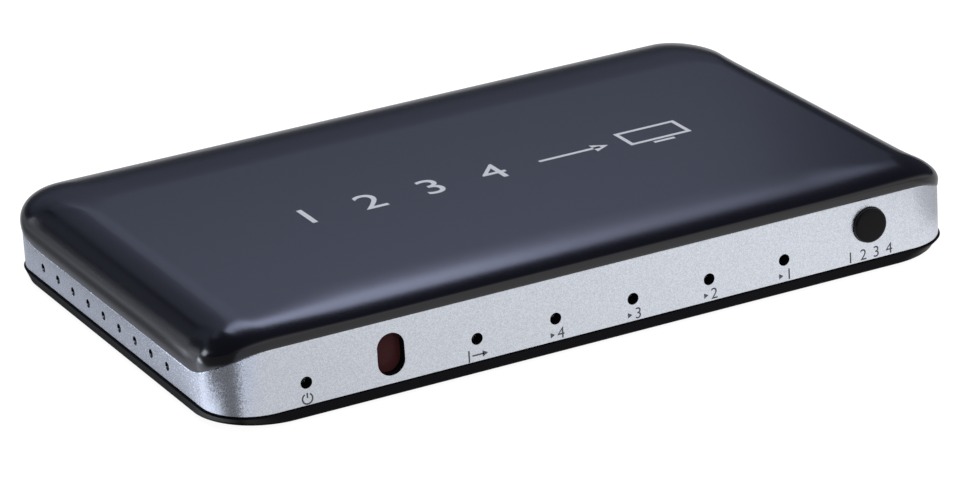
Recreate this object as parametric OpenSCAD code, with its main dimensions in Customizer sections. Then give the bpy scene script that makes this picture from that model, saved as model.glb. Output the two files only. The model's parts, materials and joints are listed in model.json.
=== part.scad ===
// Slim four-in, one-out video switch box, in millimetres.
// X runs along the front to the right, Y from the front to the rear, Z up from the desk.
// The origin is at the middle of the box that holds the whole object, on the desk.

/* [Case] */
// Width of the silver band
body_w = 135; // [132:0.5:150]
// Depth of the silver band
body_d = 88; // [87:0.5:100]
// Radius of the case's upright corners
corner_r = 9; // [8:0.5:12]
// Thickness of the side walls
wall = 1.8; // [1.5:0.1:2.2]
// How far the rubber feet stand below the base
foot_h = 0.6; // [0.4:0.1:1.5]
// Height of the black base strip
base_h = 1.8; // [1.6:0.1:3]
// How far the base stands out past the silver band
base_proud = 0.3; // [0:0.1:0.6]
// Radius of the base's corners along its lower edge
base_foot_r = 12; // [10:0.5:14]
// Size of the soft edge under the base
base_edge = 0.5; // [0.2:0.1:0.8]
// Thickness of the base's floor
floor_t = 1.2; // [1:0.1:1.6]

/* [Cover] */
// Height of the cover's top above the base
top_h = 14; // [13.8:0.1:17]
// Thickness of the cover's roof
roof_t = 2; // [1.5:0.1:2.2]
// How far the cover stands out past the silver band
cover_proud = 0.15; // [0.05:0.05:0.3]
// Reach of the rounding at the left and right edges
side_round = 8.2; // [6:0.2:12]
// Reach of the slope at the rear edge
rear_round = 20; // [16:1:30]
// Reach of the slope at the front edge
front_round = 12; // [8:1:16]
// Height of the upright strip of cover above the silver at the front
front_strip = 1.4; // [0.8:0.1:2]
// Share of an edge's reach that its corners gain as radius
corner_growth = 0.4; // [0.1:0.05:0.5]
// Depth of the lip that locates the cover inside the band
lip_h = 1.2; // [0.8:0.1:1.5]
// Thickness of the locating lips and rims
lip_t = 1; // [0.8:0.1:1.2]
// Gap between a locating lip and the band
lip_gap = 0.15; // [0.1:0.05:0.25]

/* [Silver band] */
// Height of the band at the front
front_h = 11; // [10.8:0.1:11.6]
// Height of the band along the sides
side_h = 5.2; // [4.8:0.1:6]
// Height of the band at the rear
rear_h = 8.6; // [8.5:0.1:9.2]
// Depth over which the band's upper edge comes down at each end
fall_d = 13.5; // [12.5:0.5:16]
// How sharply that edge comes down, 1 being a straight line
fall_power = 1.7; // [1.2:0.1:2.4]

/* [Vents] */
// Diameter of a vent hole
vent_d = 1.5; // [1:0.1:2]
// Distance between vent holes
vent_pitch = 6.35; // [5:0.05:7]
// Number of vent holes on each side
vent_count = 9; // [5:1:10]
// Distance of the first vent hole from the front
vent_start = 21.7; // [18:0.1:24]
// Height of the vent holes above the base
vent_lift = 2.7; // [2.6:0.1:3.2]

/* [Front features] */
// Distance of the power lamp from the left side
power_led_in = 14.25; // [13.5:0.25:16.5]
// Distance of the first port lamp from the left side
first_led_in = 44.35; // [42.5:0.05:47.5]
// Distance of the last port lamp from the right side
last_led_in = 33.85; // [33.05:0.05:40]
// Diameter of a lamp's hole
led_hole_d = 2; // [1.5:0.1:2.4]
// Diameter of a lamp
led_d = 3; // [2.4:0.1:3]
// Length of a lamp
led_len = 5; // [4:0.1:5.4]
// Height of the lamps' axes above the board
led_lift = 1.53; // [1.53:0.01:1.8]
// Distance of the infrared window from the left side
ir_in = 29.15; // [27.5:0.05:31.5]
// Width of the infrared window
ir_w = 4.8; // [4:0.1:5.2]
// Height of the infrared window
ir_h = 7.2; // [6.4:0.1:7.4]
// Height of the window's middle above the board
ir_lift = 2.65; // [2.4:0.05:2.8]
// Depth of the window's face behind the front
ir_recess = 1; // [0.4:0.1:1.3]
// Distance of the select button from the right side
button_in = 17.45; // [17.4:0.05:21.5]
// Diameter of the select button
button_d = 6; // [5:0.1:6.2]
// How far the button stands out of the front
button_proud = 1; // [0.6:0.1:1.6]
// Height of the button's axis above the board
button_lift = 3.95; // [3.8:0.05:4.1]
// Running gap round the button
button_gap = 0.08; // [0.05:0.01:0.1]

/* [Sockets] */
// Distance of the last video socket from the right side
last_port_in = 19.5; // [19.1:0.1:25]
// Distance from the power socket to the first video socket
first_port_apart = 18; // [16:0.1:19]
// Width of a video socket's opening
port_w = 14; // [13.9:0.05:14.2]
// Height of a video socket's opening
port_h = 4.55; // [4.5:0.05:4.65]
// Thickness of a socket's metal shell
shell_t = 0.4; // [0.3:0.05:0.45]
// Length of a video socket
port_len = 12; // [11:0.5:14]
// How far the video sockets stand out of the rear
port_proud = 1; // [0.5:0.1:1.6]
// Distance of the power socket from the left side
jack_in = 15.5; // [15:0.1:16.5]
// Bore of the power socket
jack_bore = 4; // [3.8:0.1:4.2]
// Diameter of the power socket's centre pin
jack_pin_d = 1.3; // [1.2:0.05:1.4]

/* [Board and fasteners] */
// Thickness of the circuit board
board_t = 1.6; // [1:0.1:1.8]
// Distance of the circuit board's ends from the left and right sides
board_in = 10; // [9.5:0.25:11]
// Height of the board's standoffs
standoff_h = 1.5; // [1.4:0.1:1.7]
// Gap between the board and the base's rim
board_gap = 0.35; // [0.2:0.05:0.6]
// Inset of the board screws from the left and right sides
board_screw_in = 16.5; // [15.5:0.5:18.5]
// Distance of the front board screws from the front edge of the case
board_screw_front = 17.5; // [17:0.5:20]
// Distance of the rear board screws from the rear edge of the case
board_screw_rear = 23.5; // [23:0.5:24]
// Inset of the case screws from the left and right edges
case_screw_in = 6.25; // [6.1:0.05:6.3]
// Inset of the case screws from the front and rear edges
case_screw_end = 12.5; // [11.5:0.5:15]
// Diameter of a case screw's shank
screw_d = 2.5; // [2:0.1:2.8]
// Gap round a screw
screw_gap = 0.05; // [0.03:0.01:0.1]
// Diameter of a rubber foot
foot_d = 8; // [6:0.5:9]

/* [Hidden] */

$fn = 48;
// A little extra, so that cuts run clear of what they cut
over = 1;
// Thickness of one slice of a rounded form
slice = 0.01;

// Planes of the case
front_y = -(body_d + button_proud + port_proud) / 2 + button_proud;
rear_y = front_y + body_d;
mid_y = (front_y + rear_y) / 2;
line_z = foot_h + base_h;
floor_z = foot_h + floor_t;
board_z0 = floor_z + standoff_h;
board_z1 = board_z0 + board_t;
inner_front_y = front_y + wall;
inner_rear_y = rear_y - wall;
left_x = -body_w / 2;
right_x = body_w / 2;

// Heights of the features in the silver band
led_z = board_z1 + led_lift;
ir_z = board_z1 + ir_lift;
button_z = board_z1 + button_lift;
vent_z = line_z + vent_lift;

// The base's rim, and the board inside it
rim_h = 1.8;
rim_out = wall + lip_gap;
rim_in = rim_out + lip_t;
board_front_y = front_y + rim_in + board_gap;
board_rear_y = rear_y - rim_in - board_gap;

// Lamps and sockets from left to right, seen from the front
port_count = 5;
first_led_x = left_x + first_led_in;
led_pitch = (right_x - last_led_in - first_led_x) / (port_count - 1);
led_xs = [left_x + power_led_in, for (i = [0:port_count - 1]) first_led_x + i * led_pitch];
jack_x = left_x + jack_in;
out_port_x = jack_x + first_port_apart;
port_pitch = (right_x - last_port_in - out_port_x) / (port_count - 1);
port_xs = [for (i = [0:port_count - 1]) out_port_x + i * port_pitch];
ir_x = left_x + ir_in;
button_x = right_x - button_in;

// Fineness of the cover's rounding: levels, places round a corner and along a side
cover_steps = 10;
corner_steps = 8;
side_steps = 3;

// Height of the band's upper edge, where it has come a distance d from an end
function edge_height(end_h, d) =
    side_h + (end_h - side_h) * pow(max(0, 1 - d / fall_d), fall_power);

fall_steps = 10;
edge_curve = concat(
    [for (i = [0:fall_steps])
        let (d = fall_d * i / fall_steps)
        [front_y + d, line_z + edge_height(front_h, d)]],
    [for (i = [fall_steps:-1:0])
        let (d = fall_d * i / fall_steps)
        [rear_y - d, line_z + edge_height(rear_h, d)]]);

// A rectangle with true round corners
module rounded_rect(w, d, r) {
    square([w - 2 * r, d], center = true);
    square([w, d - 2 * r], center = true);
    for (sx = [-1, 1], sy = [-1, 1])
        translate([sx * (w / 2 - r), sy * (d / 2 - r)]) circle(r);
}

// An upright block with the case's outline, drawn in by inset
module case_block(inset, z0, z1) {
    translate([0, mid_y, z0])
        linear_extrude(z1 - z0)
            rounded_rect(body_w - 2 * inset, body_d - 2 * inset, corner_r - inset);
}

// A wall that follows the case's outline
module case_ring(outer, inner, z0, z1) {
    difference() {
        case_block(outer, z0, z1);
        case_block(inner, z0 - over, z1 + over);
    }
}

// Everything below the band's upper edge, lowered by drop
module below_edge(drop) {
    low = line_z - drop - over;
    points = concat(
        [[front_y - over, low], [front_y - over, edge_curve[0][1] - drop]],
        [for (p = edge_curve) [p[0], p[1] - drop]],
        [[rear_y + over, edge_curve[len(edge_curve) - 1][1] - drop], [rear_y + over, low]]);
    rotate([90, 0, 90])
        linear_extrude(body_w + 4 * over, center = true)
            polygon(points);
}

// Height above the base where the cover's upright wall ends and its rounding starts
function wall_top(end_h, strip, d) =
    let (h = edge_height(end_h, d))
    h + strip * (h - side_h) / (end_h - side_h);

// One end's quarter of a level of the cover, from the middle of the end to the side: its corner,
// then a few places along the side. Each is [x, distance from the end, height above the base].
// turn is 0 at the upright wall and 90 at the top, and shrink draws the outline in.
function cover_quarter(end_h, strip, reach, turn, shrink) =
    let (
        side_in = shrink + side_round * (1 - cos(turn)),
        end_in = shrink + reach * (1 - cos(turn)),
        r = corner_r - shrink + corner_growth * (max(side_in, end_in) - shrink),
        x = body_w / 2 - side_in - r,
        rise = 1 - sin(turn))
    concat(
        [for (i = [0:corner_steps])
            let (
                a = 90 * i / corner_steps,
                top = wall_top(end_h, strip, corner_r * (1 - cos(a))))
            [x + r * sin(a), end_in + r * (1 - cos(a)), top_h - (top_h - top) * rise]],
        [for (i = [1:side_steps])
            let (
                run = (fall_d - corner_r) * i / side_steps,
                top = wall_top(end_h, strip, corner_r + run))
            [x + r, end_in + r + run, top_h - (top_h - top) * rise]]);

// A whole level: front to rear on the right, then rear to front on the left
function cover_level(turn, shrink, drop) =
    let (
        front = [for (p = cover_quarter(front_h, front_strip, front_round, turn, shrink))
            [p[0], front_y + p[1], line_z + p[2] - drop]],
        rear = [for (p = cover_quarter(rear_h, 0, rear_round, turn, shrink))
            [p[0], rear_y - p[1], line_z + p[2] - drop]],
        right = concat(front, [for (i = [len(rear) - 1:-1:0]) rear[i]]))
    concat(right, [for (i = [len(right) - 1:-1:0]) [-right[i][0], right[i][1], right[i][2]]]);

// The cover's solid outer form, drawn in by shrink and lowered by drop
module cover_form(shrink, drop) {
    wall_level = cover_level(0, shrink, drop);
    n = len(wall_level);
    points = concat(
        [for (p = wall_level) [p[0], p[1], line_z - drop]],
        [for (k = [0:cover_steps]) each cover_level(90 * k / cover_steps, shrink, drop)]);
    faces = concat(
        [[for (i = [0:n - 1]) i]],
        [for (k = [0:cover_steps], i = [0:n - 1])
            let (a = k * n + i, b = k * n + (i + 1) % n)
            each [[a, a + n, b], [b, a + n, b + n]]],
        [[for (i = [n - 1:-1:0]) (cover_steps + 1) * n + i]]);
    polyhedron(points, faces);
}

// Puts its children at the four case screws
module at_case_screws() {
    for (sx = [-1, 1], y = [front_y + case_screw_end, rear_y - case_screw_end])
        translate([sx * (body_w / 2 - case_screw_in), y, 0]) children();
}

// Puts its children at the four board screws
module at_board_screws() {
    for (sx = [-1, 1], y = [front_y + board_screw_front, rear_y - board_screw_rear])
        translate([sx * (right_x - board_screw_in), y, 0]) children();
}

// A rod along Y from y0 to y1
module rod_y(x, z, y0, y1, d) {
    translate([x, y0, z]) rotate([-90, 0, 0]) cylinder(h = y1 - y0, d = d);
}

// A box by its lowest and highest corner
module box(a, b) {
    translate(a) cube(b - a);
}

// Fasteners
boss_d = 6;
pad_top_z = floor_z + 2.2;
case_head_d = 4.6;
case_head_h = 1.4;
case_head_z = foot_h + 0.2;
case_screw_len = 9;
pad_d = 7;
board_screw_d = 2.1;
board_head_d = 4.2;
board_head_h = 1.4;
board_screw_len = board_t + standoff_h + 0.4;
standoff_d = 5.5;
foot_sink = 0.5;
foot_gap = 0.1;
foot_in_x = 17.5;
foot_in_y = 9.5;
recess_w = 0.5;
recess_depth = 0.6;
thread_play = 0.5;

relief = 0.4;

// Cuts inside the rear wall for the sockets
module socket_reliefs() {
    for (x = port_xs)
        box([x - port_w / 2 - shell_t - relief, inner_rear_y - 2 * lip_t, board_z1 - relief],
            [x + port_w / 2 + shell_t + relief, inner_rear_y, board_z1 + port_out_h + relief]);
    box([jack_x - jack_w / 2 - relief, inner_rear_y - 2 * lip_t, board_z1 - relief],
        [jack_x + jack_w / 2 + relief, inner_rear_y, board_z1 + jack_h + relief]);
    jack_hole();
}

// The hole of the power socket's nose
module jack_hole() {
    rod_y(jack_x, jack_z, inner_rear_y - over, rear_y + over, jack_nose_d + 2 * port_gap);
}

// Cuts in the cover's lip and the base's rim for what passes them
module lip_reliefs() {
    rod_y(button_x, button_z, front_y - over, inner_front_y + 2 * lip_t,
          button_flange_d + 2 * relief);
    socket_reliefs();
    box([ir_x - ir_flange_w / 2 - relief, inner_front_y, ir_z - ir_flange_h / 2 - relief],
        [ir_x + ir_flange_w / 2 + relief, inner_front_y + 2 * lip_t,
         ir_z + ir_flange_h / 2 + relief]);
}

module top_cover() {
    color([0.2, 0.21, 0.26])
    difference() {
        union() {
            difference() {
                cover_form(-cover_proud, 0);
                cover_form(wall, roof_t);
                below_edge(0);
                socket_reliefs();
            }
            intersection() {
                case_ring(wall + lip_gap, wall + lip_gap + lip_t, line_z, line_z + top_h);
                difference() {
                    cover_form(wall / 2, roof_t / 2);
                    below_edge(lip_h);
                    lip_reliefs();
                }
            }
            intersection() {
                cover_form(wall / 2, roof_t / 2);
                at_case_screws()
                    translate([0, 0, pad_top_z]) cylinder(h = top_h, d = boss_d);
            }
        }
        at_case_screws()
            translate([0, 0, pad_top_z - over])
                cylinder(h = over + case_screw_len - (pad_top_z - case_head_z - case_head_h) + thread_play,
                         d = screw_d + 2 * screw_gap);
    }
}

module side_frame() {
    color([0.76, 0.78, 0.82])
    difference() {
        intersection() {
            case_ring(0, wall, line_z, line_z + max(front_h, rear_h));
            below_edge(0);
        }
        for (x = led_xs)
            rod_y(x, led_z, front_y - over, inner_front_y + over, led_hole_d);
        ir_slot(ir_w, ir_h, front_y - over, inner_front_y + over);
        rod_y(button_x, button_z, front_y - over, inner_front_y + over,
              button_d + 2 * button_gap);
        for (i = [0:vent_count - 1])
            translate([0, front_y + vent_start + i * vent_pitch, vent_z])
                rotate([0, 90, 0])
                    cylinder(h = body_w + 2 * over, d = vent_d, center = true);
        for (x = port_xs)
            socket_prism(x, port_w + 2 * (shell_t + port_gap), port_out_h + 2 * port_gap,
                         inner_rear_y - over, rear_y + over);
        jack_hole();
    }
}

module bottom_cover() {
    color([0.07, 0.07, 0.09])
    difference() {
        union() {
            difference() {
                base_plate();
                case_block(rim_in, floor_z, line_z + over);
            }
            difference() {
                case_ring(rim_out, rim_in, floor_z, line_z + rim_h);
                lip_reliefs();
            }
            at_case_screws()
                translate([0, 0, foot_h + base_edge]) cylinder(h = pad_top_z - foot_h - base_edge,
                                                               d = pad_d);
            at_board_screws()
                translate([0, 0, floor_z - floor_t / 2])
                    cylinder(h = standoff_h + floor_t / 2, d = standoff_d);
        }
        at_case_screws() {
            cylinder(h = case_head_z + case_head_h, d = case_head_d + 0.4);
            cylinder(h = pad_top_z + over, d = screw_d + 4 * screw_gap);
        }
        at_board_screws()
            translate([0, 0, board_z1 - board_screw_len - 0.1])
                cylinder(h = board_screw_len, d = board_screw_d + 2 * screw_gap);
        at_feet()
            cylinder(h = foot_h + foot_sink, d = foot_d + 2 * foot_gap);
    }
}

// The base's plate, proud of the band, with a soft lower edge and wider corners below
module base_plate() {
    hull() {
        base_level(foot_h, base_edge, base_foot_r);
        base_level(foot_h + base_edge * 0.3, base_edge * 0.3, base_foot_r);
        base_level(foot_h + base_edge, 0, base_foot_r);
        base_level(line_z - slice, 0, corner_r + base_proud);
    }
}

module base_level(z, inset, r) {
    w = body_w / 2 + base_proud - inset;
    d = body_d / 2 + base_proud - inset;
    for (sx = [-1, 1], sy = [-1, 1])
        translate([sx * (w - r), mid_y + sy * (d - r), z])
            cylinder(h = slice, r = r, $fn = 40);
}

module at_feet() {
    for (sx = [-1, 1], sy = [-1, 1])
        translate([sx * (body_w / 2 - foot_in_x), mid_y + sy * (body_d / 2 - foot_in_y), 0])
            children();
}

module rubber_feet() {
    color([0.12, 0.12, 0.13])
    at_feet()
        cylinder(h = foot_h + foot_sink, d = foot_d);
}

// A pan-head screw that points up, its head's underside at z = 0
module pan_screw(head_d, head_h, shank_d, shank_len) {
    difference() {
        translate([0, 0, -head_h]) cylinder(h = head_h, d = head_d);
        for (a = [0, 90])
            rotate(a)
                translate([-head_d / 3, -recess_w / 2, -head_h - over])
                    cube([head_d / 1.5, recess_w, over + recess_depth]);
    }
    cylinder(h = shank_len - shank_d / 2, d = shank_d);
    translate([0, 0, shank_len - shank_d / 2])
        cylinder(h = shank_d / 2, d1 = shank_d, d2 = shank_d / 3);
}

module case_screws() {
    color([0.3, 0.3, 0.32])
    at_case_screws()
        translate([0, 0, case_head_z + case_head_h])
            pan_screw(case_head_d, case_head_h, screw_d, case_screw_len);
}

module board_screws() {
    color([0.75, 0.75, 0.77])
    at_board_screws()
        translate([0, 0, board_z1])
            mirror([0, 0, 1])
                pan_screw(board_head_d, board_head_h, board_screw_d, board_screw_len);
}

// Circuit board, with holes for every lead and leg that passes through it
module circuit_board() {
    color([0.05, 0.3, 0.16])
    difference() {
        translate([0, (board_front_y + board_rear_y) / 2, board_z0])
            linear_extrude(board_t)
                rounded_rect(body_w - 2 * board_in, board_rear_y - board_front_y, board_r);
        at_board_screws()
            translate([0, 0, board_z0 - over])
                cylinder(h = board_t + 2 * over, d = board_screw_d + board_hole_play);
        for (x = led_xs)
            led_tails(x, hole_gap);
        ir_tails(hole_gap);
        switch_tails(hole_gap);
        for (x = port_xs)
            shell_legs(x, hole_gap);
        jack_pin_tail(hole_gap, board_z1 + hole_gap);
        jack_leaf_tail(hole_gap, board_z1 + hole_gap);
    }
}

// The board's corners and screw holes, the gap round a lead in its hole, and how far a lead stands
// out below the board
board_r = 2;
board_hole_play = 0.5;
hole_gap = 0.1;
tail_out = 0.8;

// Video sockets
port_gap = 0.15;
port_out_h = port_h + 2 * shell_t;
port_mouth_y = rear_y + port_proud;
port_back_y = port_mouth_y - port_len;
port_z = board_z1 + port_out_h / 2;
block_len = 4;
tongue_w = 11.9;
tongue_t = 1.3;
tongue_back = 1;
leg_w = 1.4;
leg_backs = [6.2, 10.2];
spring_w = 1.8;
spring_back = 5.4;
spring_slot = 0.6;
contact_w = 0.4;
contact_t = 0.15;
contact_short = 0.8;
riser_apart = 0.9;
contact_pitch = 1;
foot_len = 1;

// A socket's outline: square upper corners and slanted lower ones
function socket_outline(w, h) = [
    [-w / 2, h / 2], [-w / 2, -h * 0.12], [-w * 0.385, -h / 2],
    [w * 0.385, -h / 2], [w / 2, -h * 0.12], [w / 2, h / 2]];

// A prism of that outline along Y from y0 to y1
module socket_prism(x, w, h, y0, y1) {
    translate([x, y1, port_z])
        rotate([90, 0, 0])
            linear_extrude(y1 - y0)
                polygon(socket_outline(w, h));
}

module shell_legs(x, gap) {
    for (s = [-1, 1], back = leg_backs)
        box([x + s * (port_w / 2 + shell_t / 2) - shell_t / 2 - gap,
             port_mouth_y - back - leg_w / 2 - gap, board_z0 - tail_out - gap],
            [x + s * (port_w / 2 + shell_t / 2) + shell_t / 2 + gap,
             port_mouth_y - back + leg_w / 2 + gap, port_z]);
}

module video_shell(x) {
    color([0.8, 0.8, 0.82])
    difference() {
        union() {
            socket_prism(x, port_w + 2 * shell_t, port_out_h, port_back_y, port_mouth_y);
            shell_legs(x, 0);
        }
        socket_prism(x, port_w, port_h, port_back_y - over, port_mouth_y + over);
        for (s = [-1, 1])
            box([x + s * port_w / 4 - spring_w / 2, port_mouth_y - spring_back - spring_slot,
                 board_z1 + port_h],
                [x + s * port_w / 4 + spring_w / 2, port_mouth_y - spring_back,
                 board_z1 + port_out_h + over]);
    }
}

// One contact: a strip on the tongue, a riser behind the block and a foot on the board
module contact(x, z, back) {
    box([x - contact_w / 2, back, z],
        [x + contact_w / 2, port_mouth_y - tongue_back - contact_short, z + contact_t]);
    box([x - contact_w / 2, back - contact_t, board_z1], [x + contact_w / 2, back, z + contact_t]);
    box([x - contact_w / 2, back - contact_t - foot_len, board_z1],
        [x + contact_w / 2, back - contact_t, board_z1 + contact_t]);
}

module video_contacts(x) {
    color([0.85, 0.68, 0.3])
    for (i = [0:9])
        contact(x + (i - 4.5) * contact_pitch, port_z + tongue_t / 2 - contact_t,
                port_back_y - riser_apart);
    color([0.85, 0.68, 0.3])
    for (i = [0:8])
        contact(x + (i - 4) * contact_pitch, port_z - tongue_t / 2, port_back_y);
}

module video_insulator(x) {
    color([0.06, 0.06, 0.06])
    difference() {
        union() {
            socket_prism(x, port_w, port_h, port_back_y, port_back_y + block_len);
            box([x - tongue_w / 2, port_back_y + block_len / 2, port_z - tongue_t / 2],
                [x + tongue_w / 2, port_mouth_y - tongue_back, port_z + tongue_t / 2]);
        }
        for (i = [0:9])
            box([x + (i - 4.5) * contact_pitch - contact_w / 2, port_back_y - over,
                 port_z + tongue_t / 2 - contact_t],
                [x + (i - 4.5) * contact_pitch + contact_w / 2,
                 port_mouth_y - tongue_back - contact_short, port_z + tongue_t / 2]);
        for (i = [0:8])
            box([x + (i - 4) * contact_pitch - contact_w / 2, port_back_y - over,
                 port_z - tongue_t / 2],
                [x + (i - 4) * contact_pitch + contact_w / 2,
                 port_mouth_y - tongue_back - contact_short, port_z - tongue_t / 2 + contact_t]);
    }
}

// Power socket
jack_w = 7;
jack_h = 5.6;
jack_len = 10;
jack_z = board_z1 + jack_h / 2;
jack_nose_d = 5.2;
jack_depth = 8;
jack_front_y = inner_rear_y - 0.05;
jack_pin_short = 1.2;
jack_tail = 0.8;
jack_leaf_t = 0.3;
jack_leaf_w = 1.6;

// The leaf's place, just outside the bore, and the places of both tails along Y
jack_leaf_x = jack_x + jack_bore / 2 + 0.1;
jack_pin_tail_y = jack_front_y - jack_len + jack_tail;
jack_leaf_tail_y = jack_front_y - 4;

// The power socket's two tails, from x0 to x1 at y, widened by gap
module jack_tail_form(x0, x1, y, gap, top) {
    box([x0 - gap, y - jack_tail / 2 - gap, board_z0 - tail_out - gap],
        [x1 + gap, y + jack_tail / 2 + gap, top]);
}

module jack_pin_tail(gap, top) {
    jack_tail_form(jack_x - jack_tail / 2, jack_x + jack_tail / 2, jack_pin_tail_y, gap, top);
}

module jack_leaf_tail(gap, top) {
    jack_tail_form(jack_leaf_x, jack_leaf_x + jack_leaf_t, jack_leaf_tail_y, gap, top);
}

module dc_jack_body() {
    color([0.05, 0.05, 0.06])
    difference() {
        union() {
            box([jack_x - jack_w / 2, jack_front_y - jack_len, board_z1],
                [jack_x + jack_w / 2, jack_front_y, board_z1 + jack_h]);
            rod_y(jack_x, jack_z, jack_front_y - over, rear_y, jack_nose_d);
        }
        rod_y(jack_x, jack_z, rear_y - jack_depth, rear_y + over, jack_bore);
        jack_pin_form();
        jack_leaf_form();
    }
}

// The centre pin, its root through the body's back and its tail down to the board
module jack_pin_form() {
    rod_y(jack_x, jack_z, jack_front_y - jack_len, rear_y - jack_pin_short - jack_pin_d / 2,
          jack_pin_d);
    translate([jack_x, rear_y - jack_pin_short - jack_pin_d / 2, jack_z])
        sphere(d = jack_pin_d);
    jack_pin_tail(0, jack_z);
}

// The side contact: a leaf beside the bore with its tail down through the board
module jack_leaf_form() {
    box([jack_leaf_x, jack_leaf_tail_y - 3, jack_z - jack_leaf_w / 2],
        [jack_leaf_x + jack_leaf_t, jack_leaf_tail_y + 2, jack_z + jack_leaf_w / 2]);
    jack_leaf_tail(0, jack_z);
}

module dc_jack_pin() {
    color([0.85, 0.85, 0.86]) jack_pin_form();
}

module dc_jack_spring_contact() {
    color([0.85, 0.85, 0.86]) jack_leaf_form();
}

// Indicator lamps: a clear body with a domed nose behind its hole, lying on the board
led_clear = 0.25;
led_nose_y = inner_front_y + led_clear;
led_back_y = led_nose_y + led_len;
lead_t = 0.5;
lead_run = 1.2;
lead_apart = 1.27;

module led(x) {
    color([0.85, 0.87, 0.85])
    intersection() {
        rod_y(x, led_z, led_nose_y, led_back_y, led_d);
        union() {
            translate([x, led_nose_y + led_d / 2, led_z]) sphere(d = led_d);
            box([x - led_d, led_nose_y + led_d / 2, led_z - led_d],
                [x + led_d, led_back_y + over, led_z + led_d]);
        }
    }
}

// The upright ends of a lamp's leads
module led_tails(x, gap) {
    for (s = [-1, 1])
        box([x + s * lead_apart / 2 - lead_t / 2 - gap, led_back_y + lead_run - lead_t - gap,
             board_z0 - tail_out - gap],
            [x + s * lead_apart / 2 + lead_t / 2 + gap, led_back_y + lead_run + gap,
             led_z + lead_t / 2]);
}

module led_leads() {
    color([0.75, 0.75, 0.76])
    for (x = led_xs) {
        led_tails(x, 0);
        for (s = [-1, 1])
            box([x + s * lead_apart / 2 - lead_t / 2, led_back_y, led_z - lead_t / 2],
                [x + s * lead_apart / 2 + lead_t / 2, led_back_y + lead_run, led_z + lead_t / 2]);
    }
}

// Infrared window and receiver
ir_fit = 0.05;
ir_flange_w = 7.6;
ir_flange_h = 8.6;
ir_flange_t = 0.9;
ir_body_w = 5;
ir_body_h = 5.4;
ir_body_t = 2.4;
ir_stand = 0.2;
ir_lens_d = 3.6;
ir_lens_out = 1;
ir_front_y = inner_front_y + ir_flange_t + ir_lens_out + 0.3;

// An upright slot with round ends
module ir_slot(w, h, y0, y1) {
    for (s = [-1, 1])
        rod_y(ir_x, ir_z + s * (h - w) / 2, y0, y1, w);
    box([ir_x - w / 2, y0, ir_z - (h - w) / 2], [ir_x + w / 2, y1, ir_z + (h - w) / 2]);
}

module ir_window() {
    color([0.2, 0.05, 0.06])
    union() {
        ir_slot(ir_w - 2 * ir_fit, ir_h - 2 * ir_fit, front_y + ir_recess, inner_front_y);
        box([ir_x - ir_flange_w / 2, inner_front_y, ir_z - ir_flange_h / 2],
            [ir_x + ir_flange_w / 2, inner_front_y + ir_flange_t, ir_z + ir_flange_h / 2]);
    }
}

module ir_receiver() {
    color([0.08, 0.07, 0.1])
    union() {
        box([ir_x - ir_body_w / 2, ir_front_y, board_z1 + ir_stand],
            [ir_x + ir_body_w / 2, ir_front_y + ir_body_t, board_z1 + ir_stand + ir_body_h]);
        intersection() {
            translate([ir_x, ir_front_y + ir_lens_d / 2 - ir_lens_out,
                       board_z1 + ir_stand + ir_body_h / 2])
                sphere(d = ir_lens_d);
            box([ir_x - ir_lens_d, ir_front_y - ir_lens_out - over, board_z1],
                [ir_x + ir_lens_d, ir_front_y + ir_body_t / 2, board_z1 + 2 * ir_body_h]);
        }
    }
}

module ir_tails(gap) {
    for (i = [-1:1])
        box([ir_x + i * 1.6 - lead_t / 2 - gap, ir_front_y + ir_body_t / 2 - lead_t / 2 - gap,
             board_z0 - tail_out - gap],
            [ir_x + i * 1.6 + lead_t / 2 + gap, ir_front_y + ir_body_t / 2 + lead_t / 2 + gap,
             board_z1 + ir_stand]);
}

module ir_receiver_legs() {
    color([0.75, 0.75, 0.76]) ir_tails(0);
}

// Select button and its switch, from the front to the back
button_flange_d = 7.2;
button_flange_t = 0.8;
button_seat = 0.05;
button_edge = 0.5;
stem_d = 3;
stem_len = 2;
plunger_d = 3.4;
plunger_gap = 0.05;
plunger_len = 1.6;
plunger_foot_d = 4.2;
plunger_foot_t = 0.5;
sw_w = 6.2;
sw_t = 3.4;
sw_plate_t = 0.3;
sw_cavity_d = 4.6;
sw_cavity_t = 1.5;
flange_y = inner_front_y + button_seat;
stem_y = flange_y + button_flange_t;
plunger_y = stem_y + stem_len;
sw_front_y = plunger_y + plunger_len - sw_plate_t - button_seat;
sw_back_y = sw_front_y + sw_plate_t + sw_t;
foot_y = sw_front_y + sw_plate_t + button_seat;
dome_y = foot_y + plunger_foot_t;
dome_base_y = sw_front_y + sw_plate_t + sw_cavity_t;

// Half of the button's section, turned about its axis: cap, flange and stem
module select_button() {
    r = button_d / 2;
    color([0.1, 0.1, 0.12])
    translate([button_x, front_y - button_proud, button_z])
        rotate([-90, 0, 0])
            rotate_extrude()
                polygon([
                    [0, 0], [r - button_edge, 0], [r - button_edge * 0.35, button_edge * 0.3],
                    [r, button_edge],
                    [r, button_proud + wall + button_seat],
                    [button_flange_d / 2, button_proud + wall + button_seat],
                    [button_flange_d / 2, button_proud + wall + button_seat + button_flange_t],
                    [stem_d / 2, button_proud + wall + button_seat + button_flange_t],
                    [stem_d / 2, button_proud + wall + button_seat + button_flange_t + stem_len],
                    [0, button_proud + wall + button_seat + button_flange_t + stem_len]]);
}

module switch_plunger() {
    color([0.15, 0.15, 0.16])
    union() {
        rod_y(button_x, button_z, plunger_y, foot_y, plunger_d);
        rod_y(button_x, button_z, foot_y, dome_y, plunger_foot_d);
    }
}

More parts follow.
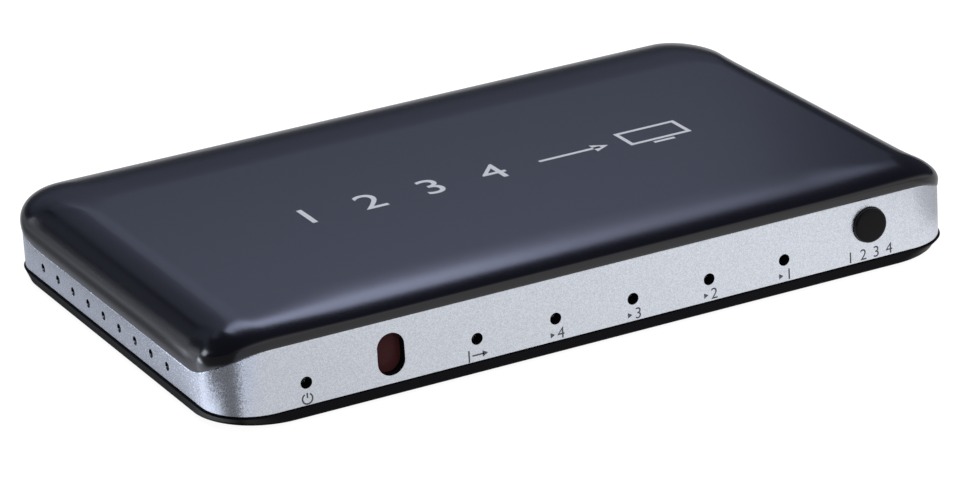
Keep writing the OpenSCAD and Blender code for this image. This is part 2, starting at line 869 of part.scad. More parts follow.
// A thin pressed dome that the plunger's foot rests on, its rim on the cavity's floor
module switch_dome() {
    rise = dome_base_y - dome_y;
    rim = sw_cavity_d / 2 - 0.2;
    ball = (rim * rim + rise * rise) / (2 * rise);
    skin = 0.1;
    color([0.8, 0.8, 0.8])
    translate([button_x, dome_base_y, button_z])
        rotate([90, 0, 0])
            intersection() {
                translate([0, 0, rise - ball])
                    difference() {
                        sphere(r = ball);
                        sphere(r = ball - skin);
                    }
                cylinder(h = rise, r = sw_cavity_d / 2 - 0.1);
            }
}

module switch_housing() {
    y0 = sw_front_y + sw_plate_t;
    color([0.1, 0.1, 0.1])
    difference() {
        box([button_x - sw_w / 2, y0, button_z - sw_w / 2],
            [button_x + sw_w / 2, sw_back_y, button_z + sw_w / 2]);
        rod_y(button_x, button_z, y0 - over, dome_base_y, sw_cavity_d);
        switch_pins_form();
    }
}

// The switch's front plate, folded over the top and back, with two legs into the board
module switch_bracket() {
    t = sw_plate_t;
    color([0.78, 0.78, 0.79])
    difference() {
        union() {
            box([button_x - sw_w / 2 - t, sw_front_y, button_z - sw_w / 2],
                [button_x + sw_w / 2 + t, sw_front_y + t, button_z + sw_w / 2 + t]);
            box([button_x - sw_w / 2 - t, sw_front_y, button_z + sw_w / 2],
                [button_x + sw_w / 2 + t, sw_back_y, button_z + sw_w / 2 + t]);
            for (s = [-1, 1]) {
                box([button_x + s * (sw_w / 2 + t / 2) - t / 2, sw_front_y, button_z - sw_w / 2],
                    [button_x + s * (sw_w / 2 + t / 2) + t / 2, sw_back_y, button_z + sw_w / 2]);
                bracket_leg(s, 0);
            }
        }
        rod_y(button_x, button_z, sw_front_y - over, sw_front_y + t + over,
              plunger_d + 2 * plunger_gap);
    }
}

module bracket_leg(s, gap) {
    t = sw_plate_t;
    y = (sw_front_y + sw_back_y) / 2;
    box([button_x + s * (sw_w / 2 + t / 2) - t / 2 - gap, y - 0.6 - gap,
         board_z0 - tail_out - gap],
        [button_x + s * (sw_w / 2 + t / 2) + t / 2 + gap, y + 0.6 + gap, button_z - sw_w / 4]);
}

// The two contact pins under the housing
module switch_pins_form() {
    y = (dome_base_y + sw_back_y) / 2;
    for (s = [-1, 1])
        box([button_x + s * 2 - lead_t / 2, y - lead_t / 2, board_z0 - tail_out],
            [button_x + s * 2 + lead_t / 2, y + lead_t / 2, button_z - sw_w / 4]);
}

module switch_pins() {
    color([0.8, 0.8, 0.8]) switch_pins_form();
}

module switch_tails(gap) {
    y = (dome_base_y + sw_back_y) / 2;
    for (s = [-1, 1]) {
        bracket_leg(s, gap);
        box([button_x + s * 2 - lead_t / 2 - gap, y - lead_t / 2 - gap, board_z0 - tail_out - gap],
            [button_x + s * 2 + lead_t / 2 + gap, y + lead_t / 2 + gap, board_z1 + gap]);
    }
}

// Parts on the board, each placed from the side, end or socket that it belongs to
chip_shift = [4, 0];
chip_at = chip_shift + [0, mid_y];
chip_w = 12;
chip_t = 1.4;
chip_pins = 12;
chip_pitch = 0.8;
mcu_in = [29.5, 26];
mcu_at = [right_x - mcu_in[0], front_y + mcu_in[1]];
mcu_size = [7.5, 12.8, 2.2];
mcu_pins = 10;
memory_in = 29;
memory_ats = [for (i = [1:port_count - 1]) [port_xs[i], rear_y - memory_in]];
memory_size = [3.9, 4.9, 1.5];
memory_pins = 4;
regulator_in = 23.5;
regulator_shifts = [4, -12];
regulator_ats = [for (y = regulator_shifts) [left_x + regulator_in, mid_y + y]];
regulator_size = [6.5, 3.5, 1.6];
regulator_pitch = 2.3;
regulator_pin_w = 0.7;
regulator_tab_w = 3;
crystal_in = [45.5, 22];
crystal_at = [right_x - crystal_in[0], front_y + crystal_in[1]];
crystal_size = [11, 4.6, 3.4];
crystal_rim = 0.5;
crystal_rim_t = 0.4;
capacitor_ins = [17.5, 31.5];
capacitor_back = 30;
capacitor_ats = [for (x = capacitor_ins) [left_x + x, rear_y - capacitor_back]];
capacitor_base = [6.6, 6.6, 0.8];
capacitor_d = 6.3;
capacitor_h = 5.4;
ceramic_size = [0.9, 1.7, 0.9];
ceramic_back = 19.5;
resistor_size = [0.9, 1.7, 0.5];
resistor_back = 16.5;
small_pitch = 2.4;
small_count = 4;
pin_stand = 0.1;
pin_w = 0.3;
pin_out = 1;
wide_pin_w = 0.45;
wide_pin_pitch = 1.27;
mark_in = 1;
mark_d = 0.8;
mark_depth = 0.15;

// A part's black body, standing a little off the board on its leads
module chip_body(at, size) {
    translate([at[0], at[1], board_z1 + pin_stand])
        difference() {
            translate([-size[0] / 2, -size[1] / 2, 0]) cube(size);
            translate([-size[0] / 2 + mark_in, size[1] / 2 - mark_in, size[2] - mark_depth])
                cylinder(h = over, d = mark_d);
        }
}

// A row of flat leads along X, as many as count, standing on the board
module lead_row(at, count, pitch, width, reach) {
    for (i = [0:count - 1])
        translate([at[0] + (i - (count - 1) / 2) * pitch, at[1], board_z1])
            translate([-width / 2, -reach / 2, 0]) cube([width, reach, pin_stand]);
}

// The same leads along Y
module lead_column(at, count, pitch, width, reach) {
    for (i = [0:count - 1])
        translate([at[0], at[1] + (i - (count - 1) / 2) * pitch, board_z1])
            translate([-reach / 2, -width / 2, 0]) cube([reach, width, pin_stand]);
}

module switch_chip() {
    color([0.1, 0.1, 0.11]) chip_body(chip_at, [chip_w, chip_w, chip_t]);
}

module switch_chip_leads() {
    color([0.78, 0.78, 0.79])
    for (s = [-1, 1]) {
        lead_row(chip_at + [0, s * chip_w / 2], chip_pins, chip_pitch, pin_w, 2 * pin_out);
        lead_column(chip_at + [s * chip_w / 2, 0], chip_pins, chip_pitch, pin_w, 2 * pin_out);
    }
}

module microcontroller() {
    color([0.1, 0.1, 0.11]) chip_body(mcu_at, mcu_size);
}

module microcontroller_leads() {
    color([0.78, 0.78, 0.79])
    for (s = [-1, 1])
        lead_column(mcu_at + [s * mcu_size[0] / 2, 0], mcu_pins, wide_pin_pitch, wide_pin_w,
                    2 * pin_out);
}

module edid_memories() {
    color([0.1, 0.1, 0.11])
    for (at = memory_ats) chip_body(at, memory_size);
}

module edid_memory_leads() {
    color([0.78, 0.78, 0.79])
    for (at = memory_ats, s = [-1, 1])
        lead_column(at + [s * memory_size[0] / 2, 0], memory_pins, wide_pin_pitch, wide_pin_w,
                    2 * pin_out);
}

module voltage_regulators() {
    color([0.1, 0.1, 0.11])
    for (at = regulator_ats) chip_body(at, regulator_size);
}

module regulator_leads() {
    color([0.78, 0.78, 0.79])
    for (at = regulator_ats) {
        lead_row(at - [0, regulator_size[1] / 2], 3, regulator_pitch, regulator_pin_w,
                 2 * pin_out);
        lead_row(at + [0, regulator_size[1] / 2], 1, 0, regulator_tab_w, 2 * pin_out);
    }
}

module crystal() {
    color([0.8, 0.8, 0.8])
    translate([crystal_at[0], crystal_at[1], board_z1]) {
        linear_extrude(crystal_rim_t) stadium(crystal_size[0], crystal_size[1]);
        linear_extrude(crystal_size[2])
            stadium(crystal_size[0] - 2 * crystal_rim, crystal_size[1] - 2 * crystal_rim);
    }
}

// A flat outline with half-round ends
module stadium(w, d) {
    square([w - d, d], center = true);
    for (s = [-1, 1])
        translate([s * (w - d) / 2, 0]) circle(d = d);
}

module electrolytic_capacitors() {
    color([0.8, 0.8, 0.82])
    for (at = capacitor_ats)
        translate([at[0], at[1], board_z1]) {
            translate([-capacitor_base[0] / 2, -capacitor_base[1] / 2, 0]) cube(capacitor_base);
            cylinder(h = capacitor_h, d = capacitor_d);
        }
}

// A row of small two-ended parts in front of each video socket
module small_parts(size, back) {
    for (x = port_xs, i = [0:small_count - 1])
        translate([x + (i - (small_count - 1) / 2) * small_pitch, rear_y - back, board_z1])
            translate([-size[0] / 2, -size[1] / 2, 0]) cube(size);
}

module ceramic_capacitors() {
    color([0.7, 0.58, 0.42]) small_parts(ceramic_size, ceramic_back);
}

module resistors() {
    color([0.12, 0.12, 0.12]) small_parts(resistor_size, resistor_back);
}

top_cover();
side_frame();
bottom_cover();
rubber_feet();
case_screws();
circuit_board();
board_screws();
video_shell(port_xs[0]);  // video_out_shell
video_shell(port_xs[1]);  // video_in4_shell
video_shell(port_xs[2]);  // video_in3_shell
video_shell(port_xs[3]);  // video_in2_shell
video_shell(port_xs[4]);  // video_in1_shell
video_insulator(port_xs[0]);  // video_out_insulator
video_insulator(port_xs[1]);  // video_in4_insulator
video_insulator(port_xs[2]);  // video_in3_insulator
video_insulator(port_xs[3]);  // video_in2_insulator
video_insulator(port_xs[4]);  // video_in1_insulator
video_contacts(port_xs[0]);  // video_out_contacts
video_contacts(port_xs[1]);  // video_in4_contacts
video_contacts(port_xs[2]);  // video_in3_contacts
video_contacts(port_xs[3]);  // video_in2_contacts
video_contacts(port_xs[4]);  // video_in1_contacts
dc_jack_body();
dc_jack_pin();
dc_jack_spring_contact();
led(led_xs[0]);  // led_power
led(led_xs[1]);  // led_out
led(led_xs[2]);  // led_in4
led(led_xs[3]);  // led_in3
led(led_xs[4]);  // led_in2
led(led_xs[5]);  // led_in1
led_leads();
ir_window();
ir_receiver();
ir_receiver_legs();
select_button();
switch_plunger();
switch_dome();
switch_housing();
switch_bracket();
switch_pins();
switch_chip();
switch_chip_leads();
microcontroller();
microcontroller_leads();
edid_memories();
edid_memory_leads();
voltage_regulators();
regulator_leads();
crystal();
electrolytic_capacitors();
ceramic_capacitors();
resistors();
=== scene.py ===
"""Looks of a slim video switch box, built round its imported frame.

Lengths are in metres, in the frame's own axes: X along the front to the right, Y from the front
to the rear, Z up from the desk.
"""

import json
import logging
import math
from dataclasses import dataclass, field
from enum import Enum
from typing import Callable, Iterable, Sequence

import bmesh
import bpy
from mathutils import Matrix, Vector


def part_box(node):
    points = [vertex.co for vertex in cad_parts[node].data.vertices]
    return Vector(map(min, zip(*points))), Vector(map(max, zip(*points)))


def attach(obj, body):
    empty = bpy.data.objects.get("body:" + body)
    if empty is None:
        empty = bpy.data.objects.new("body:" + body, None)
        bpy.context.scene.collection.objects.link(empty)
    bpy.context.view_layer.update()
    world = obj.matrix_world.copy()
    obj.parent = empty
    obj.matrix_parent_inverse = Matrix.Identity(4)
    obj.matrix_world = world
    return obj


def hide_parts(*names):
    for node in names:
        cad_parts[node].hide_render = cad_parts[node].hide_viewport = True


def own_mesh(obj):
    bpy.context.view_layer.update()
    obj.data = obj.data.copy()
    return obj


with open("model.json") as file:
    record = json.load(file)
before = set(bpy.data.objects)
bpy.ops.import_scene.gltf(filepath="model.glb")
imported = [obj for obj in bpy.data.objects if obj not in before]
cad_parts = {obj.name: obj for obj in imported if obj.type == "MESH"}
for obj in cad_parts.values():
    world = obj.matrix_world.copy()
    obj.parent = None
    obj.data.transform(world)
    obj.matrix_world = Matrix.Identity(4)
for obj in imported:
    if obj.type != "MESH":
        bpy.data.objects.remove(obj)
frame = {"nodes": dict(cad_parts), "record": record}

MM = 0.001
MERGE = 0.0005 * MM
CASE_BODY = "case"
BUTTON_BODY = "button"

Colour = tuple[float, float, float]
log = logging.getLogger("switch_box")


def srgb(red: int, green: int, blue: int) -> Colour:
    """Gives a colour that is written as 0 to 255 screen values in Blender's linear values.

    Args:
        red: Red screen value.
        green: Green screen value.
        blue: Blue screen value.

    Returns:
        The linear colour.
    """
    return tuple(
        v / 12.92 if v <= 0.04045 else ((v + 0.055) / 1.055) ** 2.4
        for v in (red / 255, green / 255, blue / 255)
    )


class Side(Enum):
    """Ends of the case along Y."""

    FRONT = -1
    REAR = 1


class Socket(Enum):
    """Kinds of value that pass in or out of a shader group."""

    COLOUR = "NodeSocketColor"
    VALUE = "NodeSocketFloat"
    VECTOR = "NodeSocketVector"


# Shader groups


class NodeWriter:
    """Short ways to add nodes to one node tree."""

    def __init__(self, tree: bpy.types.NodeTree) -> None:
        """Takes the tree that the nodes are added to."""
        self.tree = tree

    def add(self, kind: str, **settings: object) -> bpy.types.Node:
        """Adds a node.

        Args:
            kind: The node's type.
            settings: Properties to set on it.

        Returns:
            The new node.
        """
        node = self.tree.nodes.new(kind)
        for label, value in settings.items():
            setattr(node, label, value)
        return node

    def join(self, start: bpy.types.NodeSocket, end: bpy.types.NodeSocket) -> None:
        """Links two sockets."""
        self.tree.links.new(start, end)

    def sum_of(
        self, operation: str, first: object, second: object
    ) -> bpy.types.NodeSocket:
        """Adds a sum of two values.

        Args:
            operation: Name of the operation.
            first: A socket or a number.
            second: A socket or a number.

        Returns:
            The socket that holds the result.
        """
        node = self.add("ShaderNodeMath", operation=operation)
        for slot, value in enumerate((first, second)):
            if isinstance(value, (int, float)):
                node.inputs[slot].default_value = value
            else:
                self.join(value, node.inputs[slot])
        return node.outputs[0]

    def chain(
        self, operation: str, values: Sequence[bpy.types.NodeSocket]
    ) -> bpy.types.NodeSocket:
        """Runs one operation through a row of values.

        Args:
            operation: Name of the operation.
            values: The sockets that hold them.

        Returns:
            The socket that holds the result.
        """
        total = values[0]
        for value in values[1:]:
            total = self.sum_of(operation, total, value)
        return total

    def fade(
        self,
        value: bpy.types.NodeSocket,
        start: float,
        end: float,
        low: float = 0.0,
        high: float = 1.0,
    ) -> bpy.types.NodeSocket:
        """Adds a smooth step from one level to another.

        Args:
            value: The socket that drives the step.
            start: Value at which the step starts.
            end: Value at which it ends.
            low: Level at the start.
            high: Level at the end.

        Returns:
            The socket that holds the level.
        """
        node = self.add("ShaderNodeMapRange", interpolation_type="SMOOTHSTEP")
        limits = {"From Min": start, "From Max": end, "To Min": low, "To Max": high}
        for label, number in limits.items():
            node.inputs[label].default_value = number
        self.join(value, node.inputs["Value"])
        return node.outputs["Result"]

    def blend(
        self, share: bpy.types.NodeSocket, first: Colour, second: Colour
    ) -> bpy.types.NodeSocket:
        """Adds a blend of two colours.

        Args:
            share: The socket that gives the second colour's share.
            first: The first colour.
            second: The second colour.

        Returns:
            The socket that holds the colour.
        """
        node = self.add("ShaderNodeMix", data_type="RGBA")
        node.inputs["A"].default_value = (*first, 1.0)
        node.inputs["B"].default_value = (*second, 1.0)
        self.join(share, node.inputs["Factor"])
        return node.outputs["Result"]


@dataclass
class ShaderGroup(NodeWriter):
    """A shader node group that several finishes share.

    Attributes:
        inputs: Kind and first value of each input.
        outputs: Kind of each output.
    """

    name: str
    inputs: dict[str, tuple[Socket, float | Colour]]
    outputs: dict[str, Socket]

    def __post_init__(self) -> None:
        """Makes the group's sockets, then its nodes."""
        super().__init__(bpy.data.node_groups.new(self.name, "ShaderNodeTree"))
        for label, (kind, value) in self.inputs.items():
            socket = self.tree.interface.new_socket(
                label, in_out="INPUT", socket_type=kind.value
            )
            socket.default_value = (*value, 1.0) if kind is Socket.COLOUR else value
        for label, kind in self.outputs.items():
            self.tree.interface.new_socket(
                label, in_out="OUTPUT", socket_type=kind.value
            )
        self.source = self.add("NodeGroupInput")
        self.result = self.add("NodeGroupOutput")
        self.wire()

    def wire(self) -> None:
        """Makes the group's own nodes."""
        raise NotImplementedError

    def noise(self, scale: bpy.types.NodeSocket, detail: float) -> bpy.types.Node:
        """Adds noise over the object's own coordinates.

        Args:
            scale: Socket that gives the noise's scale, in cycles a metre.
            detail: Number of finer layers.

        Returns:
            The noise node.
        """
        place = self.add("ShaderNodeTexCoord")
        noise = self.add("ShaderNodeTexNoise", noise_dimensions="3D")
        noise.inputs["Detail"].default_value = detail
        self.join(place.outputs["Object"], noise.inputs["Vector"])
        self.join(scale, noise.inputs["Scale"])
        return noise

    def vary(self, brightness: bpy.types.NodeSocket, roughness: bpy.types.NodeSocket) -> None:
        """Puts out the group's colour and roughness, each with a change.

        Args:
            brightness: How much brighter the colour gets, as a share of 1.
            roughness: What is added to the roughness.
        """
        bright = self.add("ShaderNodeHueSaturation")
        self.join(self.source.outputs["Colour"], bright.inputs["Color"])
        self.join(self.sum_of("ADD", brightness, 1.0), bright.inputs["Value"])
        self.join(bright.outputs["Color"], self.result.inputs["Colour"])
        rough = self.sum_of("ADD", self.source.outputs["Roughness"], roughness)
        self.join(rough, self.result.inputs["Roughness"])


class GrainGroup(ShaderGroup):
    """Fine moulded or blasted grain, as a height."""

    FINER = 3.1
    FINE_SHARE = 0.5

    def wire(self) -> None:
        """Sums a coarse and a fine noise."""
        scale = self.source.outputs["Scale"]
        coarse = self.noise(scale, 2.0)
        fine = self.noise(self.sum_of("MULTIPLY", scale, self.FINER), 1.0)
        fine_share = self.sum_of("MULTIPLY", fine.outputs["Fac"], self.FINE_SHARE)
        total = self.sum_of("ADD", coarse.outputs["Fac"], fine_share)
        self.join(total, self.result.inputs["Height"])


class MottleGroup(ShaderGroup):
    """A colour and a roughness that drift a little over the surface."""

    ROUGH_SHARE = 0.6

    def wire(self) -> None:
        """Scales brightness and roughness by slow noise."""
        drift = self.noise(self.source.outputs["Scale"], 3.0)
        centred = self.sum_of("SUBTRACT", drift.outputs["Fac"], 0.5)
        share = self.sum_of("MULTIPLY", centred, self.source.outputs["Amount"])
        self.vary(share, self.sum_of("MULTIPLY", share, self.ROUGH_SHARE))


class SparkleGroup(ShaderGroup):
    """Small facets that catch the light one by one, as on blasted metal."""

    ROUGH_SHARE = 0.8

    def wire(self) -> None:
        """Gives each small cell its own brightness and roughness."""
        place = self.add("ShaderNodeTexCoord")
        cells = self.add("ShaderNodeTexVoronoi", feature="F1")
        self.join(place.outputs["Object"], cells.inputs["Vector"])
        self.join(self.source.outputs["Scale"], cells.inputs["Scale"])
        split = self.add("ShaderNodeSeparateColor")
        self.join(cells.outputs["Color"], split.inputs["Color"])
        amount = self.source.outputs["Amount"]
        bright = self.sum_of("SUBTRACT", split.outputs["Red"], 0.5)
        rough = self.sum_of("SUBTRACT", split.outputs["Green"], 0.5)
        rough_amount = self.sum_of("MULTIPLY", amount, self.ROUGH_SHARE)
        self.vary(
            self.sum_of("MULTIPLY", bright, amount),
            self.sum_of("MULTIPLY", rough, rough_amount),
        )
        self.facet_normal(cells)

    def facet_normal(self, cells: bpy.types.Node) -> None:
        """Tilts the normal of each cell a little its own way.

        Args:
            cells: The texture that gives each cell its colour.
        """
        centred = self.add("ShaderNodeVectorMath", operation="SUBTRACT")
        centred.inputs[1].default_value = (0.5, 0.5, 0.5)
        self.join(cells.outputs["Color"], centred.inputs[0])
        tilt = self.add("ShaderNodeVectorMath", operation="SCALE")
        self.join(centred.outputs[0], tilt.inputs[0])
        self.join(self.source.outputs["Tilt"], tilt.inputs["Scale"])
        surface = self.add("ShaderNodeNewGeometry")
        total = self.add("ShaderNodeVectorMath", operation="ADD")
        self.join(surface.outputs["Normal"], total.inputs[0])
        self.join(tilt.outputs[0], total.inputs[1])
        unit = self.add("ShaderNodeVectorMath", operation="NORMALIZE")
        self.join(total.outputs[0], unit.inputs[0])
        self.join(unit.outputs[0], self.result.inputs["Normal"])


class TraceGroup(ShaderGroup):
    """Copper tracks under a circuit board's solder mask."""

    TRACK_WIDTH = 0.07
    TRACK_BLUR = 0.05

    def wire(self) -> None:
        """Changes the mask's colour along the joints of a brick pattern."""
        place = self.add("ShaderNodeTexCoord")
        bricks = self.add("ShaderNodeTexBrick", offset=0.35, squash=1.6)
        self.join(place.outputs["Object"], bricks.inputs["Vector"])
        self.join(self.source.outputs["Scale"], bricks.inputs["Scale"])
        self.join(self.source.outputs["Colour"], bricks.inputs["Color1"])
        self.join(self.source.outputs["Colour"], bricks.inputs["Color2"])
        self.join(self.source.outputs["Track"], bricks.inputs["Mortar"])
        bricks.inputs["Mortar Size"].default_value = self.TRACK_WIDTH
        bricks.inputs["Mortar Smooth"].default_value = self.TRACK_BLUR
        self.join(bricks.outputs["Color"], self.result.inputs["Colour"])


GREY = (0.5, 0.5, 0.5)
SHARED_INPUTS = {
    "Colour": (Socket.COLOUR, GREY),
    "Roughness": (Socket.VALUE, 0.5),
    "Scale": (Socket.VALUE, 100.0),
    "Amount": (Socket.VALUE, 0.1),
}
SHARED_OUTPUTS = {"Colour": Socket.COLOUR, "Roughness": Socket.VALUE}


class Effect(Enum):
    """Shared effects that change a finish over its surface."""

    GRAIN = "surface_grain"
    MOTTLE = "slow_mottle"
    SPARKLE = "fine_sparkle"
    TRACES = "board_traces"


class EffectShelf:
    """Builds each shader group once, when a finish first asks for it."""

    def __init__(self) -> None:
        """Starts with no group built."""
        self.built: dict[Effect, ShaderGroup] = {}

    def take(self, effect: Effect) -> bpy.types.ShaderNodeTree:
        """Gives an effect's node tree.

        Args:
            effect: The effect that is wanted.

        Returns:
            Its shader node tree.
        """
        if effect not in self.built:
            self.built[effect] = self.build(effect)
        return self.built[effect].tree

    def build(self, effect: Effect) -> ShaderGroup:
        """Builds an effect's group.

        Args:
            effect: The effect that is wanted.

        Returns:
            Its group.
        """
        if effect is Effect.GRAIN:
            scale = {"Scale": (Socket.VALUE, 5000.0)}
            return GrainGroup(effect.value, scale, {"Height": Socket.VALUE})
        if effect is Effect.MOTTLE:
            return MottleGroup(effect.value, SHARED_INPUTS, SHARED_OUTPUTS)
        if effect is Effect.SPARKLE:
            return SparkleGroup(
                effect.value, SHARED_INPUTS | {"Tilt": (Socket.VALUE, 0.1)},
                SHARED_OUTPUTS | {"Normal": Socket.VECTOR},
            )
        inputs = {
            "Colour": (Socket.COLOUR, GREY),
            "Track": (Socket.COLOUR, GREY),
            "Scale": (Socket.VALUE, 100.0),
        }
        return TraceGroup(effect.value, inputs, {"Colour": Socket.COLOUR})


EFFECTS = EffectShelf()


# Finishes


@dataclass(frozen=True)
class Finish:
    """A surface finish with a drifting colour and a fine grain.

    Attributes:
        name: The material's name.
        slot: The record's material slot that it stands for.
        colour: Base colour, linear.
        roughness: How blurred its reflections are, 0 to 1.
        metallic: 1 for bare metal.
        specular: Strength of the reflection of a non-metal.
        coat: Weight of a clear coat.
        coat_roughness: How blurred the coat's reflections are.
        transmission: Share of the light that goes through, 0 to 1.
        grain_size: Width of one grain.
        grain_depth: Height of the grain.
        drift_size: Width of one patch of the slow drift.
        drift: How much brightness drifts.
        sparkle_size: Width of one sparkling facet, 0 for none.
        sparkle: How much the facets differ in brightness.
        facet_tilt: How far the facets tilt, as a slope.
    """

    name: str
    slot: str
    colour: Colour
    roughness: float
    metallic: float = 0.0
    specular: float = 0.5
    coat: float = 0.0
    coat_roughness: float = 0.1
    transmission: float = 0.0
    grain_size: float = 0.2 * MM
    grain_depth: float = 0.002 * MM
    drift_size: float = 12 * MM
    drift: float = 0.06
    sparkle_size: float = 0.0
    sparkle: float = 0.0
    facet_tilt: float = 0.0

    def build(self) -> bpy.types.Material:
        """Builds the material, or finds the one that is there already.

        Returns:
            The material.
        """
        found = bpy.data.materials.get(self.name)
        if found:
            return found
        material = bpy.data.materials.new(self.name)
        material.use_nodes = True
        tree = material.node_tree
        shader = tree.nodes["Principled BSDF"]
        shader.inputs["Metallic"].default_value = self.metallic
        shader.inputs["Specular IOR Level"].default_value = self.specular
        shader.inputs["Coat Weight"].default_value = self.coat
        shader.inputs["Coat Roughness"].default_value = self.coat_roughness
        shader.inputs["Transmission Weight"].default_value = self.transmission
        self.colour_nodes(tree, shader)
        self.grain_nodes(tree, shader)
        material.diffuse_color = (*self.colour, 1.0)
        return material

    def place_group(
        self, tree: bpy.types.ShaderNodeTree, effect: Effect, scale: float
    ) -> bpy.types.Node:
        """Places a shared effect in the material.

        Args:
            tree: The material's node tree.
            effect: The effect to place.
            scale: Its scale, in cycles a metre.

        Returns:
            The group's node.
        """
        node = tree.nodes.new("ShaderNodeGroup")
        node.node_tree = EFFECTS.take(effect)
        node.inputs["Scale"].default_value = scale
        return node

    def colour_nodes(
        self, tree: bpy.types.ShaderNodeTree, shader: bpy.types.Node
    ) -> None:
        """Wires base colour and roughness.

        Args:
            tree: The material's node tree.
            shader: Its shader.
        """
        drift = self.place_group(tree, Effect.MOTTLE, 1 / self.drift_size)
        drift.inputs["Colour"].default_value = (*self.colour, 1.0)
        drift.inputs["Roughness"].default_value = self.roughness
        drift.inputs["Amount"].default_value = self.drift
        last = drift
        if self.sparkle_size:
            last = self.place_group(tree, Effect.SPARKLE, 1 / self.sparkle_size)
            last.inputs["Amount"].default_value = self.sparkle
            last.inputs["Tilt"].default_value = self.facet_tilt
            last.name = Effect.SPARKLE.value
            for label in ("Colour", "Roughness"):
                tree.links.new(drift.outputs[label], last.inputs[label])
        tree.links.new(last.outputs["Colour"], shader.inputs["Base Color"])
        tree.links.new(last.outputs["Roughness"], shader.inputs["Roughness"])

    def grain_nodes(
        self, tree: bpy.types.ShaderNodeTree, shader: bpy.types.Node
    ) -> None:
        """Wires the grain to the surface's normal.

        Args:
            tree: The material's node tree.
            shader: Its shader.
        """
        grain = self.place_group(tree, Effect.GRAIN, 1 / self.grain_size)
        bump = tree.nodes.new("ShaderNodeBump")
        bump.inputs["Strength"].default_value = 1.0
        bump.inputs["Distance"].default_value = self.grain_depth
        facets = tree.nodes.get(Effect.SPARKLE.value)
        if facets:
            tree.links.new(facets.outputs["Normal"], bump.inputs["Normal"])
        tree.links.new(grain.outputs["Height"], bump.inputs["Height"])
        tree.links.new(bump.outputs["Normal"], shader.inputs["Normal"])


@dataclass(frozen=True)
class BoardFinish(Finish):
    """Solder mask over copper tracks.

    Attributes:
        track: Colour of the mask where copper lies under it.
        track_pitch: Distance between tracks.
    """

    track: Colour = srgb(40, 120, 70)
    track_pitch: float = 1.6 * MM

    def colour_nodes(
        self, tree: bpy.types.ShaderNodeTree, shader: bpy.types.Node
    ) -> None:
        """Wires the tracks ahead of the slow drift.

        Args:
            tree: The material's node tree.
            shader: Its shader.
        """
        traces = self.place_group(tree, Effect.TRACES, 0.25 / self.track_pitch)
        traces.inputs["Colour"].default_value = (*self.colour, 1.0)
        traces.inputs["Track"].default_value = (*self.track, 1.0)
        drift = self.place_group(tree, Effect.MOTTLE, 1 / self.drift_size)
        drift.inputs["Roughness"].default_value = self.roughness
        drift.inputs["Amount"].default_value = self.drift
        tree.links.new(traces.outputs["Colour"], drift.inputs["Colour"])
        tree.links.new(drift.outputs["Colour"], shader.inputs["Base Color"])
        tree.links.new(drift.outputs["Roughness"], shader.inputs["Roughness"])


COVER = Finish(
    "charcoal_cover_satin", "cover", srgb(15, 15, 22), 0.18, specular=0.5,
    grain_size=0.16 * MM, grain_depth=0.0005 * MM, drift_size=40 * MM, drift=0.03,
)
SILVER = Finish(
    "blasted_silver_band", "silver", srgb(212, 216, 225), 0.3, metallic=1.0,
    grain_size=0.22 * MM, grain_depth=0.004 * MM, drift_size=30 * MM, drift=0.03,
    sparkle_size=0.16 * MM, sparkle=0.24, facet_tilt=0.14,
)
BASE = Finish(
    "black_base_moulding", "base", srgb(11, 11, 16), 0.42, specular=0.07,
    grain_size=0.3 * MM, grain_depth=0.003 * MM, drift_size=20 * MM,
)
FOOT_RUBBER = Finish(
    "foot_rubber", "rubber", srgb(38, 38, 40), 0.85, specular=0.3,
    grain_size=0.25 * MM, grain_depth=0.01 * MM, drift=0.15, drift_size=3 * MM,
)
SCREW_BLACK = Finish(
    "black_zinc_screw", "screw", srgb(92, 92, 97), 0.38, metallic=1.0,
    grain_size=0.1 * MM, grain_depth=0.002 * MM, drift=0.2, drift_size=1.5 * MM,
)
TINNED = Finish(
    "bright_tin_plate", "tinned", srgb(214, 214, 216), 0.24, metallic=1.0,
    grain_size=0.3 * MM, grain_depth=0.001 * MM, drift=0.12, drift_size=4 * MM,
)
GILT = Finish(
    "thin_gold_plate", "gilt", srgb(222, 186, 110), 0.22, metallic=1.0,
    grain_size=0.1 * MM, grain_depth=0.001 * MM, drift=0.1, drift_size=2 * MM,
)
BOARD = BoardFinish(
    "green_solder_mask", "board", srgb(22, 88, 50), 0.35, coat=0.4,
    grain_size=0.3 * MM, grain_depth=0.003 * MM, drift=0.1,
)
INSULATOR = Finish(
    "black_socket_moulding", "insulator", srgb(26, 26, 27), 0.5,
    grain_size=0.15 * MM, grain_depth=0.003 * MM, drift_size=5 * MM,
)
LAMP = Finish(
    "unlit_lamp_epoxy", "lamp", srgb(225, 229, 226), 0.3, transmission=0.85,
    grain_size=1 * MM, grain_depth=0.0005 * MM, drift=0.05, drift_size=2 * MM,
)
PANE = Finish(
    "infrared_pane", "window", srgb(80, 43, 44), 0.22, specular=0.05,
    grain_size=0.6 * MM, grain_depth=0.0006 * MM, drift=0.1, drift_size=6 * MM,
)
BUTTON = Finish(
    "black_button_satin", "button", srgb(15, 15, 18), 0.28, specular=0.12,
    grain_size=0.15 * MM, grain_depth=0.0015 * MM, drift_size=6 * MM,
)
CHIP = Finish(
    "chip_moulding", "chip", srgb(36, 36, 38), 0.6,
    grain_size=0.12 * MM, grain_depth=0.006 * MM, drift=0.1, drift_size=4 * MM,
)
CAN = Finish(
    "bare_can", "can", srgb(208, 209, 212), 0.3, metallic=1.0,
    grain_size=0.25 * MM, grain_depth=0.002 * MM, drift=0.08,
)
CERAMIC = Finish(
    "tan_ceramic", "ceramic", srgb(184, 150, 112), 0.55,
    grain_size=0.1 * MM, grain_depth=0.004 * MM, drift=0.12, drift_size=2 * MM,
)
